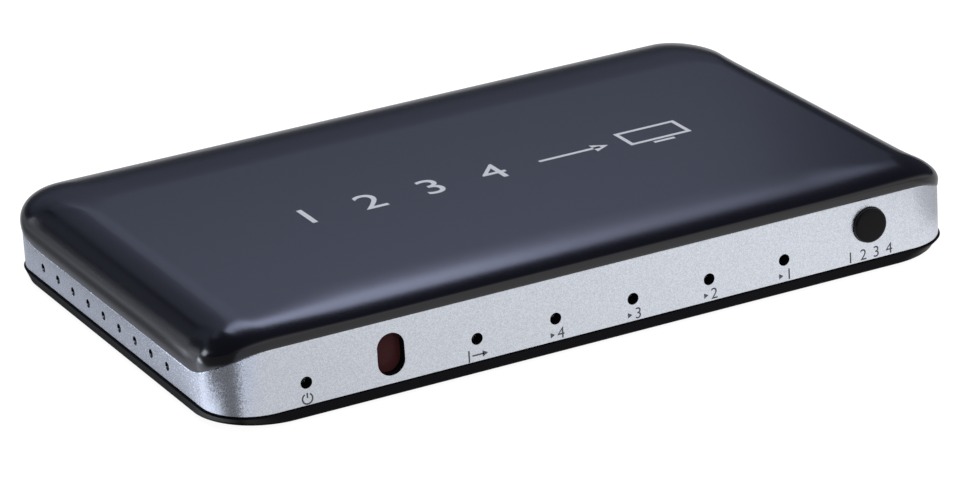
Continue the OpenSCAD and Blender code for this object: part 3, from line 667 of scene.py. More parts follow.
RESISTOR = Finish(
    "black_chip_resistor", "resistor", srgb(34, 34, 36), 0.4,
    grain_size=0.1 * MM, grain_depth=0.003 * MM, drift=0.1, drift_size=2 * MM,
)
# Black that stands in for the shade deep in the band's holes and on its inside: painted shade.
HOLE_SHADE_BLACK = Finish(
    "painted_hole_shade", "silver", srgb(14, 14, 17), 0.6, specular=0.1,
    grain_size=0.3 * MM, grain_depth=0.003 * MM, drift_size=10 * MM,
)
COVER_INK = Finish(
    "white_cover_print", "cover", srgb(226, 229, 233), 0.5,
    grain_size=0.15 * MM, grain_depth=0.002 * MM, drift=0.03, drift_size=8 * MM,
)
FRONT_INK = Finish(
    "grey_front_print", "silver", srgb(94, 95, 101), 0.55,
    grain_size=0.12 * MM, grain_depth=0.002 * MM, drift=0.08, drift_size=1 * MM,
)
NODE_FINISHES = (
    COVER, SILVER, BASE, FOOT_RUBBER, SCREW_BLACK, TINNED, GILT, BOARD, INSULATOR, LAMP,
    PANE, BUTTON, CHIP, CAN, CERAMIC, RESISTOR,
)


# Mesh helpers


def in_order(
    ring: Sequence[bmesh.types.BMVert], grown: Iterable[object]
) -> list[bmesh.types.BMVert]:
    """Finds the vertices that grew out of a ring, in the ring's own order.

    Args:
        ring: The vertices that were extruded.
        grown: What the extrusion gave.

    Returns:
        The new vertices.
    """
    new = {item for item in grown if isinstance(item, bmesh.types.BMVert)}
    return [
        next(e.other_vert(v) for e in v.link_edges if e.other_vert(v) in new)
        for v in ring
    ]


def walked(loop: Sequence[bmesh.types.BMVert]) -> list[bmesh.types.BMVert]:
    """Puts the vertices of one loop of edges in their order round it.

    Args:
        loop: The loop's vertices, in any order.

    Returns:
        The same vertices in order.
    """
    order = [loop[0]]
    seen = {loop[0]}
    while len(order) < len(loop):
        last = order[-1]
        near = (edge.other_vert(last) for edge in last.link_edges)
        order.append(next(vertex for vertex in near if vertex not in seen))
        seen.add(order[-1])
    return order


def loft(
    mesh: bmesh.types.BMesh,
    rings: Sequence[Sequence[Vector]],
    closed: bool = False,
    inset: float = 0.0,
) -> None:
    """Draws a skin through closed rings, by extruding the first one from place to place.

    Args:
        mesh: The mesh to add to.
        rings: The places of each ring's points, with as many in every ring.
        closed: Whether the last ring joins the first one. Both ends are capped otherwise.
        inset: Width of the flat border inside each cap.
    """
    circle = bmesh.ops.create_circle(mesh, segments=len(rings[0]), radius=1.0)
    first = walked(circle["verts"])
    ring = first
    for vertex, place in zip(ring, rings[0]):
        vertex.co = place
    for places in rings[1:]:
        edges = [
            mesh.edges.get((a, b)) for a, b in zip(ring, ring[1:] + ring[:1])
        ]
        grown = bmesh.ops.extrude_edge_only(mesh, edges=edges)["geom"]
        ring = in_order(ring, grown)
        for vertex, place in zip(ring, places):
            vertex.co = place
    if closed:
        ends = [
            mesh.edges.get((a, b))
            for loop in (first, ring)
            for a, b in zip(loop, loop[1:] + loop[:1])
        ]
        bmesh.ops.bridge_loops(mesh, edges=ends)
        return
    caps = [mesh.faces.new(loop) for loop in (first, ring)]
    if inset:
        bmesh.ops.inset_region(
            mesh, faces=caps, thickness=inset, use_even_offset=True
        )


def rounded_edge(
    radius: float, rounding: float, rise: float, steps: int
) -> list[tuple[float, float]]:
    """Section of a round piece's soft edge, from its lower face to its wall.

    Args:
        radius: Radius of the wall.
        rounding: Radius of the soft edge.
        rise: Height at which the face meets it.
        steps: Number of steps across it.

    Returns:
        Radius and height of each point.
    """
    return [
        (
            radius - rounding + rounding * math.sin(angle),
            rounding - (rounding - rise) * math.cos(angle),
        )
        for angle in (math.pi / 2 * i / steps for i in range(1, steps + 1))
    ]


def turned(profile: Sequence[tuple[float, float]], steps: int = 64) -> bmesh.types.BMesh:
    """Spins a profile about Z into a closed solid.

    Args:
        profile: Radius and height of each point, from axis to axis.
        steps: Number of steps in the full turn.

    Returns:
        The new mesh.
    """
    mesh = bmesh.new()
    line = [mesh.verts.new((radius, 0.0, height)) for radius, height in profile]
    edges = [mesh.edges.new(pair) for pair in zip(line, line[1:])]
    bmesh.ops.spin(
        mesh, geom=line + edges, cent=(0, 0, 0), axis=(0, 0, 1), angle=math.tau,
        steps=steps, use_merge=True,
    )
    bmesh.ops.remove_doubles(mesh, verts=mesh.verts, dist=2 * MERGE)
    return mesh


def rod(
    mesh: bmesh.types.BMesh, radius: float, low: Vector, high: Vector, segments: int = 32
) -> None:
    """Adds a closed round rod between two points.

    Args:
        mesh: The mesh to add to.
        radius: The rod's radius.
        low: Middle of one end.
        high: Middle of the other end.
        segments: Number of sides.
    """
    along = high - low
    turn = along.to_track_quat("Z", "Y").to_matrix().to_4x4()
    bmesh.ops.create_cone(
        mesh, cap_ends=True, segments=segments, radius1=radius, radius2=radius,
        depth=along.length, matrix=Matrix.Translation((low + high) / 2) @ turn,
    )


def block(mesh: bmesh.types.BMesh, low: Vector, high: Vector) -> None:
    """Adds a box by its lowest and highest corner.

    Args:
        mesh: The mesh to add to.
        low: The lowest corner.
        high: The highest corner.
    """
    size = high - low
    place = Matrix.Translation((low + high) / 2) @ Matrix.Diagonal((*size, 1.0))
    bmesh.ops.create_cube(mesh, size=1.0, matrix=place)


def finished(name: str, mesh: bmesh.types.BMesh, sharp: float = 32.0) -> bpy.types.Object:
    """Turns a bmesh into an object with outward faces and smooth shading.

    Args:
        name: The object's name.
        mesh: The mesh, which is freed.
        sharp: Angle in degrees from which an edge stays sharp.

    Returns:
        The new object.
    """
    bmesh.ops.recalc_face_normals(mesh, faces=mesh.faces)
    data = bpy.data.meshes.new(name)
    mesh.to_mesh(data)
    mesh.free()
    piece = bpy.data.objects.new(name, data)
    bpy.context.scene.collection.objects.link(piece)
    shade(piece, sharp)
    return piece


def shade(piece: bpy.types.Object, sharp: float) -> None:
    """Shades a piece smooth, apart from edges sharper than an angle in degrees."""
    piece.data.shade_smooth()
    piece.data.set_sharp_from_angle(angle=math.radians(sharp))


def cut(
    piece: bpy.types.Object, cutter: bmesh.types.BMesh, operation: str = "DIFFERENCE"
) -> None:
    """Cuts a piece with closed solids, or joins them to it.

    Args:
        piece: The piece to change.
        cutter: The solids, which are freed.
        operation: Name of the boolean operation.
    """
    tool = finished(piece.name + "_tool", cutter)
    change = piece.modifiers.new("change", "BOOLEAN")
    change.operation = operation
    change.solver = "EXACT"
    change.object = tool
    settle(piece)
    bpy.data.objects.remove(tool)


def settle(piece: bpy.types.Object) -> None:
    """Applies a piece's modifiers to its mesh.

    Args:
        piece: The piece to change.
    """
    view = bpy.context.evaluated_depsgraph_get()
    view.update()
    data = bpy.data.meshes.new_from_object(piece.evaluated_get(view))
    piece.modifiers.clear()
    old = piece.data
    piece.data = data
    data.name = piece.name
    bpy.data.meshes.remove(old)


def soften(
    piece: bpy.types.Object,
    width: float,
    wanted: Callable[[bmesh.types.BMEdge], bool],
    segments: int = 2,
) -> None:
    """Rounds the edges of a piece that a test picks.

    Args:
        piece: The piece to change.
        width: Width of the rounding.
        wanted: Test of one edge.
        segments: Number of steps across the rounding.
    """
    mesh = bmesh.new()
    mesh.from_mesh(piece.data)
    bmesh.ops.remove_doubles(mesh, verts=mesh.verts, dist=MERGE)
    edges = [e for e in mesh.edges if len(e.link_faces) == 2 and wanted(e)]
    bmesh.ops.bevel(
        mesh, geom=edges, offset=width, offset_type="OFFSET", segments=segments,
        profile=0.5, affect="EDGES", clamp_overlap=True, material=-1,
    )
    mesh.to_mesh(piece.data)
    mesh.free()


def even_shading(piece: bpy.types.Object) -> None:
    """Makes large flat faces shade flat beside their small rounded edges.

    Args:
        piece: The piece to change.
    """
    weigh = piece.modifiers.new("even_shading", "WEIGHTED_NORMAL")
    weigh.keep_sharp = True
    weigh.weight = 50


def dress(
    piece: bpy.types.Object, finish: Finish, body: str, *nodes: str
) -> bpy.types.Object:
    """Gives a piece its finish, its body and the nodes that it stands for.

    Args:
        piece: The piece.
        finish: Its finish.
        body: The body that it rides on.
        nodes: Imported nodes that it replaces.

    Returns:
        The same piece.
    """
    piece.data.materials.clear()
    piece.data.materials.append(finish.build())
    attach(piece, body)
    if nodes:
        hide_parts(*nodes)
    return piece


# The case


@dataclass
class CaseForm:
    """The plan and the heights that the cover, band and base share.

    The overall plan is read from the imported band. The rest are the case's own sizes. Heights
    are above the line between base and band.

    Attributes:
        corner: Radius of the plan's corners.
        wall: Thickness of the band and of the cover's wall.
        top: Height of the cover's top.
        front_height: Height of the band's upper edge along the front.
        side_height: Its height along the sides.
        rear_height: Its height along the rear.
        fall: Distance from an end over which it falls to the sides' height.
        fall_power: How fast it falls.
        tuck_height: Height of the cover's rounding above the band's edge.
        end_steps: Steps along the end before the corner, 0 for none.
        end_run: Length of those steps together.
    """

    corner: float = 9 * MM
    wall: float = 1.8 * MM
    top: float = 13.98 * MM
    front_height: float = 11 * MM
    side_height: float = 5.2 * MM
    rear_height: float = 8.6 * MM
    fall: float = 13.5 * MM
    fall_power: float = 1.7
    tuck_height: float = 1.3 * MM
    corner_steps: int = 24
    side_steps: int = 14
    end_steps: int = 0
    end_run: float = 17 * MM
    low: Vector = field(init=False)
    high: Vector = field(init=False)

    def __post_init__(self) -> None:
        """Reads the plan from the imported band."""
        self.low, self.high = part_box("side_frame")

    @property
    def line(self) -> float:
        """Height of the line between base and band."""
        return self.low.z

    @property
    def half_width(self) -> float:
        """Half of the band's width."""
        return (self.high.x - self.low.x) / 2

    def end_height(self, side: Side) -> float:
        """Height of the band's upper edge at one end, above the line."""
        return self.front_height if side is Side.FRONT else self.rear_height

    def edge(self, side: Side, distance: float) -> float:
        """Height of the band's upper edge above the line.

        Args:
            side: The nearer end.
            distance: Distance from that end.

        Returns:
            The height.
        """
        left = max(0.0, 1 - distance / self.fall)
        extra = self.end_height(side) - self.side_height
        return self.side_height + extra * left**self.fall_power

    def wall_top(self, side: Side, distance: float) -> float:
        """Height above the line where the cover's upright wall gives way to its rounding."""
        return self.edge(side, distance) + self.tuck_height

    def from_end(self, side: Side, distance: float) -> float:
        """Place along Y of a point at a distance from one end."""
        return (
            self.low.y + distance if side is Side.FRONT else self.high.y - distance
        )

    def depth(self, place: Vector) -> float:
        """How far a place lies inside the band's outside.

        Args:
            place: The place.

        Returns:
            The distance, below 0 outside the band.
        """
        middle = (self.low.y + self.high.y) / 2
        over_x = abs(place.x) - self.half_width + self.corner
        over_y = abs(place.y - middle) - (self.high.y - self.low.y) / 2 + self.corner
        if over_x > 0 and over_y > 0:
            return self.corner - math.hypot(over_x, over_y)
        return self.corner - max(over_x, over_y)

    def edge_at(self, y: float) -> float:
        """Height above the desk of the band's upper edge.

        Args:
            y: The place along Y.

        Returns:
            The height.
        """
        front = self.edge(Side.FRONT, y - self.low.y)
        rear = self.edge(Side.REAR, self.high.y - y)
        return self.line + max(front, rear)

    def quarter(
        self, side: Side, side_in: float, end_in: float, radius: float
    ) -> list[tuple[float, float, float]]:
        """One end's quarter of an outline, from the middle of the end to the side.

        Args:
            side: The end.
            side_in: How far the sides are drawn in.
            end_in: How far the end is drawn in.
            radius: Radius of the corner.

        Returns:
            For each point its X, its Y, and its distance from the end on the case's own
            outline.
        """
        centre = self.half_width - side_in - radius
        points = []
        for i in range(self.end_steps):
            left = self.end_run * (1 - i / self.end_steps)
            points.append((centre - left, self.from_end(side, end_in), 0.0))
        for i in range(self.corner_steps + 1):
            angle = math.radians(90 * i / self.corner_steps)
            away = radius * (1 - math.cos(angle))
            points.append((
                centre + radius * math.sin(angle),
                self.from_end(side, end_in + away),
                self.corner * (1 - math.cos(angle)),
            ))
        for i in range(1, self.side_steps + 1):
            run = (self.fall - self.corner) * i / self.side_steps
            points.append((
                centre + radius,
                self.from_end(side, end_in + radius + run),
                self.corner + run,
            ))
        return points

    def ring(
        self,
        drawn_in: Callable[[Side], tuple[float, float, float]],
        height: Callable[[Side, float, float], float],
    ) -> list[Vector]:
        """A whole outline, as a ring of places.

        Args:
            drawn_in: For an end, how far sides and end are drawn in, and the corner radius.
            height: Height of a point, from its end, its Y and its distance from that end.

        Returns:
            The places, in order round the case.
        """
        right = []
        for side in (Side.FRONT, Side.REAR):
            points = [
                Vector((x, y, height(side, y, distance)))
                for x, y, distance in self.quarter(side, *drawn_in(side))
            ]
            right += points if side is Side.FRONT else points[::-1]
        return right + [Vector((-p.x, p.y, p.z)) for p in right[::-1]]

    def plain_ring(self, inset: float, z: float, radius: float | None = None) -> list[Vector]:
        """A level ring at an inset from the band's outside."""
        corner = self.corner - inset if radius is None else radius
        return self.ring(lambda side: (inset, inset, corner), lambda side, y, d: z)

    def edge_ring(self, inset: float, drop: float) -> list[Vector]:
        """Makes a ring that follows the band's upper edge.

        Args:
            inset: Its inset from the band's outside.
            drop: How far it is lowered.

        Returns:
            The ring's places.
        """
        corner = self.corner - inset
        return self.ring(
            lambda side: (inset, inset, corner),
            lambda side, y, d: self.edge_at(y) - drop,
        )


@dataclass
class TopCover:
    """The charcoal cover: a thin shell with soft edges, tucked in where it meets the band.

    Attributes:
        proud: How far its wall stands out past the band.
        tuck: How far its rim is drawn in at the band.
        side_round: How far the rounding reaches in from the sides and round the corners.
        front_round: How far it reaches in from the middle of the front.
        rear_round: How far it reaches in from the rear.
        rear_growth: Growth of the rear corners' radius with the reach.
        inner_step: Levels of the outside to one of the inside.
        inner_share: Reach of the inside's rounding, as a share of the outside's.
        cap_border: Width of the flat border inside each cap.
        boss_start: Height of its foot above the line.
        boss_inset: Distance of its middle from the edge of the screws' box.
        bore_extra: How far its bore goes past the screw.
        core_share: Reach of that solid's rounding.
    """

    case: CaseForm
    proud: float = 0.2 * MM
    tuck: float = 0.1 * MM
    tuck_steps: int = 6
    roof: float = 2 * MM
    side_round: float = 8.2 * MM
    front_round: float = 13 * MM
    rear_round: float = 20 * MM
    rear_growth: float = -0.35
    levels: int = 30
    inner_step: int = 3
    inner_share: float = 0.8
    cap_border: float = 0.3 * MM
    sharp: float = 40.0
    boss_radius: float = 3 * MM
    boss_bore: float = 1.3 * MM
    boss_start: float = 1.6 * MM
    boss_inset: float = 2.3 * MM
    bore_extra: float = 0.5 * MM
    core_steps: int = 8
    core_share: float = 0.9
    core_reach: float = 3 * MM

    def front_reach(self, index: int) -> float:
        """How far the front's rounding reaches in from one point of an outline's quarter.

        Args:
            index: The point's number.

        Returns:
            The reach.
        """
        left = max(0.0, 1 - index / self.case.end_steps)
        ease = left * left * (3 - 2 * left)
        return self.side_round + (self.front_round - self.side_round) * ease

    def front_quarter(self, fall: float, shrink: float, share: float) -> list[Vector]:
        """The front's quarter of a level, each point moved straight in from the outline.

        Args:
            fall: Share of the rounding that lies below the level, from 0 at the wall to 1.
            shrink: Extra inset of the whole form.
            share: Share of the full reach.

        Returns:
            The places, each with its distance from the end as Z.
        """
        case = self.case
        outline = case.quarter(Side.FRONT, shrink, shrink, case.corner - shrink)
        points = []
        for i, (x, y, distance) in enumerate(outline):
            round_corner = (i - case.end_steps) / case.corner_steps
            angle = math.pi / 2 * min(1.0, max(0.0, round_corner))
            inward = share * self.front_reach(i) * fall
            points.append(Vector((
                x - inward * math.sin(angle), y + inward * math.cos(angle), distance
            )))
        return points

    def rear_quarter(self, fall: float, shrink: float, share: float) -> list[Vector]:
        """The rear's quarter of a level, a smaller outline set in from side and rear.

        Args:
            fall: Share of the rounding that lies below the level, from 0 at the wall to 1.
            shrink: Extra inset of the whole form.
            share: Share of the full reach.

        Returns:
            The places, each with its distance from the end as Z.
        """
        side_in = share * self.side_round * fall
        end_in = share * self.rear_round * fall
        radius = self.case.corner - shrink + self.rear_growth * side_in
        outline = self.case.quarter(Side.REAR, shrink + side_in, shrink + end_in, radius)
        return [Vector(point) for point in outline]

    def level(self, turn: float, shrink: float, drop: float, share: float = 1.0) -> list[Vector]:
        """A ring of the rounded form, never lower than the band's upper edge.

        Args:
            turn: 0 at the upright wall, a quarter turn at the top.
            shrink: Extra inset of the whole form.
            drop: How far the whole form is lowered.
            share: Share of the full reach.

        Returns:
            The ring's places.
        """
        case = self.case
        fall = 1 - math.cos(turn)
        quarters = {
            Side.FRONT: self.front_quarter(fall, shrink, share),
            Side.REAR: self.rear_quarter(fall, shrink, share)[::-1],
        }
        right = []
        for side, points in quarters.items():
            for point in points:
                wall = case.wall_top(side, point.z)
                height = case.line + case.top - (case.top - wall) * (1 - math.sin(turn)) - drop
                right.append(Vector((
                    point.x, point.y, max(height, case.edge_at(point.y))
                )))
        return right + [Vector((-p.x, p.y, p.z)) for p in right[::-1]]

    def build(self) -> bpy.types.Object:
        """Builds the cover, with its four screw bosses.

        Returns:
            The cover.
        """
        case = self.case
        turns = [math.pi / 2 * i / self.levels for i in range(self.levels + 1)]
        inner = [
            self.level(t, case.wall, self.roof, self.inner_share)
            for t in turns[::-self.inner_step]
        ]
        rim = [case.edge_ring(case.wall, 0.0)]
        for i in range(self.tuck_steps):
            angle = math.pi / 2 * i / self.tuck_steps
            out = (self.tuck + self.proud) * math.sin(angle)
            rise = case.tuck_height * (1 - math.cos(angle))
            rim.append(case.edge_ring(self.tuck - out, -rise))
        outer = [self.level(t, -self.proud, 0.0) for t in turns]
        mesh = bmesh.new()
        loft(mesh, inner + rim + outer, inset=self.cap_border)
        piece = finished("top_cover_shell", mesh, self.sharp)
        self.add_bosses(piece)
        shade(piece, self.sharp)
        even_shading(piece)
        return dress(piece, COVER, CASE_BODY, "top_cover")

    def add_bosses(self, piece: bpy.types.Object) -> None:
        """Joins the bosses under the roof, then drills them.

        Args:
            piece: The cover.
        """
        case = self.case
        low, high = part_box("case_screws")
        seat, roof = case.line + self.boss_start, case.line + case.top
        bosses = bmesh.new()
        bores = bmesh.new()
        for side in (-1, 1):
            for y in (low.y + self.boss_inset, high.y - self.boss_inset):
                x = side * (high.x - self.boss_inset)
                rod(bosses, self.boss_radius, Vector((x, y, seat)), Vector((x, y, roof)))
                rod(
                    bores, self.boss_bore, Vector((x, y, seat - MM)),
                    Vector((x, y, high.z + self.bore_extra)),
                )
        trimmed = finished("boss_tool", bosses)
        cut(trimmed, self.core())
        cut(piece, lifted(trimmed), "UNION")
        cut(piece, bores)

    def core(self) -> bmesh.types.BMesh:
        """Makes what lies above the middle of the cover's thickness, to trim the bosses with.

        Returns:
            The solid.
        """
        case = self.case
        turns = [math.pi / 2 * i / self.core_steps for i in range(self.core_steps + 1)]
        levels = [
            self.level(t, case.wall / 2, self.roof / 2, self.core_share) for t in turns
        ]
        reach = self.core_reach
        high = case.line + case.top + reach
        outer = case.plain_ring(-reach, high, case.corner)
        skirt = case.plain_ring(-reach, case.line - reach, case.corner)
        foot = [Vector((p.x, p.y, case.line - reach)) for p in levels[0]]
        mesh = bmesh.new()
        loft(mesh, levels[::-1] + [foot, skirt, outer])
        return mesh


def lifted(piece: bpy.types.Object) -> bmesh.types.BMesh:
    """Takes the mesh off a piece that was only needed as a tool.

    Args:
        piece: The piece, which is removed.

    Returns:
        Its mesh.
    """
    mesh = bmesh.new()
    mesh.from_mesh(piece.data)
    bpy.data.objects.remove(piece)
    return mesh


@dataclass
class SilverBand:
    """The silver band, with its holes and a fine chamfer round every edge.

    Attributes:
        chamfer: Width of the chamfer along its foot.
        top_chamfer: Width of the chamfer along its upper edge.
        rim_round: Width of the rounding at a hole's mouth.
        hole_angle: Angle in degrees from which an edge may be a hole's rim.
        edge_clear: Distance from foot and upper edge within which it is none.
        shade_depth: Depth in a hole from which its walls are black, as painted shade.
        floor_rise: Upward part of a normal from which a side hole's floor stays silver, without
            the painted shade.
        vent_start: Distance of the first vent from the front.
        vent_height: Height of the vents above the line.
    """

    case: CaseForm
    chamfer: float = 0.22 * MM
    top_chamfer: float = 0.1 * MM
    rim_round: float = 0.14 * MM
    hole_angle: float = 55.0
    edge_clear: float = 0.5 * MM
    shade_depth: float = 0.36 * MM
    floor_rise: float = 0.35
    lamp_hole: float = 1 * MM
    button_hole: float = 3.08 * MM
    slot: tuple[float, float] = (4.8 * MM, 7.2 * MM)
    vent_count: int = 9
    vent_radius: float = 0.75 * MM
    vent_start: float = 21.7 * MM
    vent_pitch: float = 6.35 * MM
    vent_height: float = 2.7 * MM
    socket_gap: float = 0.15 * MM
    socket_height: float = 5.35 * MM
    jack_hole: float = 2.75 * MM

    def build(self) -> bpy.types.Object:
        """Builds the band and cuts its holes.

        Returns:
            The band.
        """
        case = self.case
        low = case.line
        rings = [
            case.plain_ring(case.wall, low),
            case.plain_ring(self.chamfer, low),
            case.plain_ring(0.0, low + self.chamfer),
            case.edge_ring(0.0, self.top_chamfer * 2),
            case.edge_ring(self.top_chamfer, 0.0),
            case.edge_ring(case.wall, 0.0),
        ]
        mesh = bmesh.new()
        loft(mesh, rings, closed=True)
        piece = finished("silver_band", mesh)
        cut(piece, self.holes())
        soften(piece, self.rim_round, self.is_hole_rim)
        shade(piece, 32)
        even_shading(piece)
        dress(piece, SILVER, CASE_BODY, "side_frame")
        # Faces inside the band and deep in its holes get the black painted shade, and the rest
        # stays silver.
        piece.data.materials.append(HOLE_SHADE_BLACK.build())
        for face in piece.data.polygons:
            face.material_index = int(self.is_dark(face))
        return piece

    def is_dark(self, face: bpy.types.MeshPolygon) -> bool:
        """Tells whether a face takes painted shade: inside the band, or a hole's wall but not
        its floor.

        Args:
            face: The face.

        Returns:
            Whether it is black.
        """
        case = self.case
        depth = case.depth(face.center)
        # Upward floors of the side holes stay silver, and other deep faces get the painted
        # shade.
        in_side_wall = abs(face.center.x) > case.half_width - case.wall
        short_of_inside = depth < case.wall - self.top_chamfer
        if in_side_wall and short_of_inside and face.normal.z > self.floor_rise:
            return False
        return depth > self.shade_depth

    def is_hole_rim(self, edge: bmesh.types.BMEdge) -> bool:
        """Tells whether an edge runs round the mouth of a hole.

        Args:
            edge: The edge.

        Returns:
            Whether it does.
        """
        if edge.calc_face_angle(0.0) < math.radians(self.hole_angle):
            return False
        case = self.case
        for vertex in edge.verts:
            on_top = vertex.co.z > case.edge_at(vertex.co.y) - self.edge_clear
            at_foot = vertex.co.z < case.line + self.edge_clear
            if on_top or at_foot:
                return False
        return True

    def holes(self) -> bmesh.types.BMesh:
        """Makes the solids that the holes take out.

        Returns:
            The solids.
        """
        mesh = bmesh.new()
        for lamp in FrontRow().lamps():
            self.front_hole(mesh, lamp, self.lamp_hole)
        low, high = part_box("select_button")
        self.front_hole(mesh, (low + high) / 2, self.button_hole)
        self.window_slot(mesh)
        self.vents(mesh)
        self.rear_holes(mesh)
        return mesh

    def front_hole(
        self, mesh: bmesh.types.BMesh, centre: Vector, radius: float
    ) -> None:
        """Adds a round hole through the front.

        Args:
            mesh: The mesh to add to.
            centre: A point on the hole's axis.
            radius: The hole's radius.
        """
        y = self.case.low.y
        rod(
            mesh, radius, Vector((centre.x, y - MM, centre.z)),
            Vector((centre.x, y + self.case.wall + MM, centre.z)), 48,
        )

    def window_slot(self, mesh: bmesh.types.BMesh) -> None:
        """Adds the upright slot of the infrared window.

        Args:
            mesh: The mesh to add to.
        """
        low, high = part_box("ir_window")
        centre = (low + high) / 2
        width, height = self.slot
        rear = self.case.low.y + self.case.wall + MM
        rim = bmesh.ops.create_circle(mesh, segments=64, radius=width / 2, cap_ends=True)
        verts = list(rim["verts"])
        for vertex in verts:
            step = (height - width) / 2
            vertex.co.y += step if vertex.co.y > 0 else -step
        grown = bmesh.ops.extrude_face_region(mesh, geom=list(verts[0].link_faces))
        moved = [g for g in grown["geom"] if isinstance(g, bmesh.types.BMVert)]
        bmesh.ops.translate(mesh, verts=moved, vec=(0, 0, self.case.wall + 2 * MM))
        place = Matrix.Translation((centre.x, rear, centre.z))
        bmesh.ops.transform(
            mesh, matrix=place @ Matrix.Rotation(math.pi / 2, 4, "X"), verts=verts + moved
        )

    def vents(self, mesh: bmesh.types.BMesh) -> None:
        """Adds the row of small vents, through both sides.

        Args:
            mesh: The mesh to add to.
        """
        case = self.case
        z = case.line + self.vent_height
        for i in range(self.vent_count):
            y = case.low.y + self.vent_start + i * self.vent_pitch
            for side in (-1, 1):
                rod(
                    mesh, self.vent_radius,
                    Vector((side * (case.half_width - case.wall - MM), y, z)),
                    Vector((side * (case.half_width + MM), y, z)),
                )

    def rear_holes(self, mesh: bmesh.types.BMesh) -> None:
        """Adds the cut-outs of the sockets at the rear.

        Args:
            mesh: The mesh to add to.
        """
        case = self.case
        gap = self.socket_gap
        inner, outer = case.high.y - case.wall - MM, case.high.y + MM
        for name in VideoSockets.NAMES:
            low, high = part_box(f"video_{name}_shell")
            width, height = high.x - low.x + 2 * gap, self.socket_height + 2 * gap
            VideoSockets.prism(
                mesh, (low.x + high.x) / 2, high.z + gap - height / 2, width, height,
                inner, outer,
            )
        low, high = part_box("dc_jack_body")
        x, z = (low.x + high.x) / 2, (low.z + high.z) / 2
        rod(mesh, self.jack_hole, Vector((x, inner, z)), Vector((x, outer, z)), 48)


class VideoSockets:
    """Shapes that the rear's video sockets share.

    Attributes:
        NAMES: The sockets, from left to right as seen from the front.
        SHOULDER: Depth of the slants' upper ends under the middle, as a share of the height.
        FOOT: Distance of their lower ends from the middle, as a share of the width.
    """

    NAMES = ("out", "in4", "in3", "in2", "in1")
    SHOULDER = 0.12
    FOOT = 0.385

    @classmethod
    def outline(cls, width: float, height: float) -> list[tuple[float, float]]:
        """Gives the corners of a socket's outline: square above, slanted below.

        Args:
            width: Its width.
            height: Its height.

        Returns:
            The corners, about its middle.
        """
        left = [
            (-width / 2, height / 2), (-width / 2, -height * cls.SHOULDER),
            (-width * cls.FOOT, -height / 2),
        ]
        return left + [(-x, z) for x, z in left[::-1]]

    @classmethod
    def prism(
        cls, mesh: bmesh.types.BMesh, x: float, z: float, width: float, height: float,
        start: float, end: float,
    ) -> None:
        """Adds a prism of the socket's outline along Y.

        Args:
            mesh: The mesh to add to.
            x: Middle of the outline along X.
            z: Middle of the outline along Z.
            width: Width of the outline.
            height: Height of the outline.
            start: Y of one end.
            end: Y of the other end.
        """
        rings = [
            [Vector((x + px, y, z + pz)) for px, pz in cls.outline(width, height)]
            for y in (start, end)
        ]
        loft(mesh, rings)


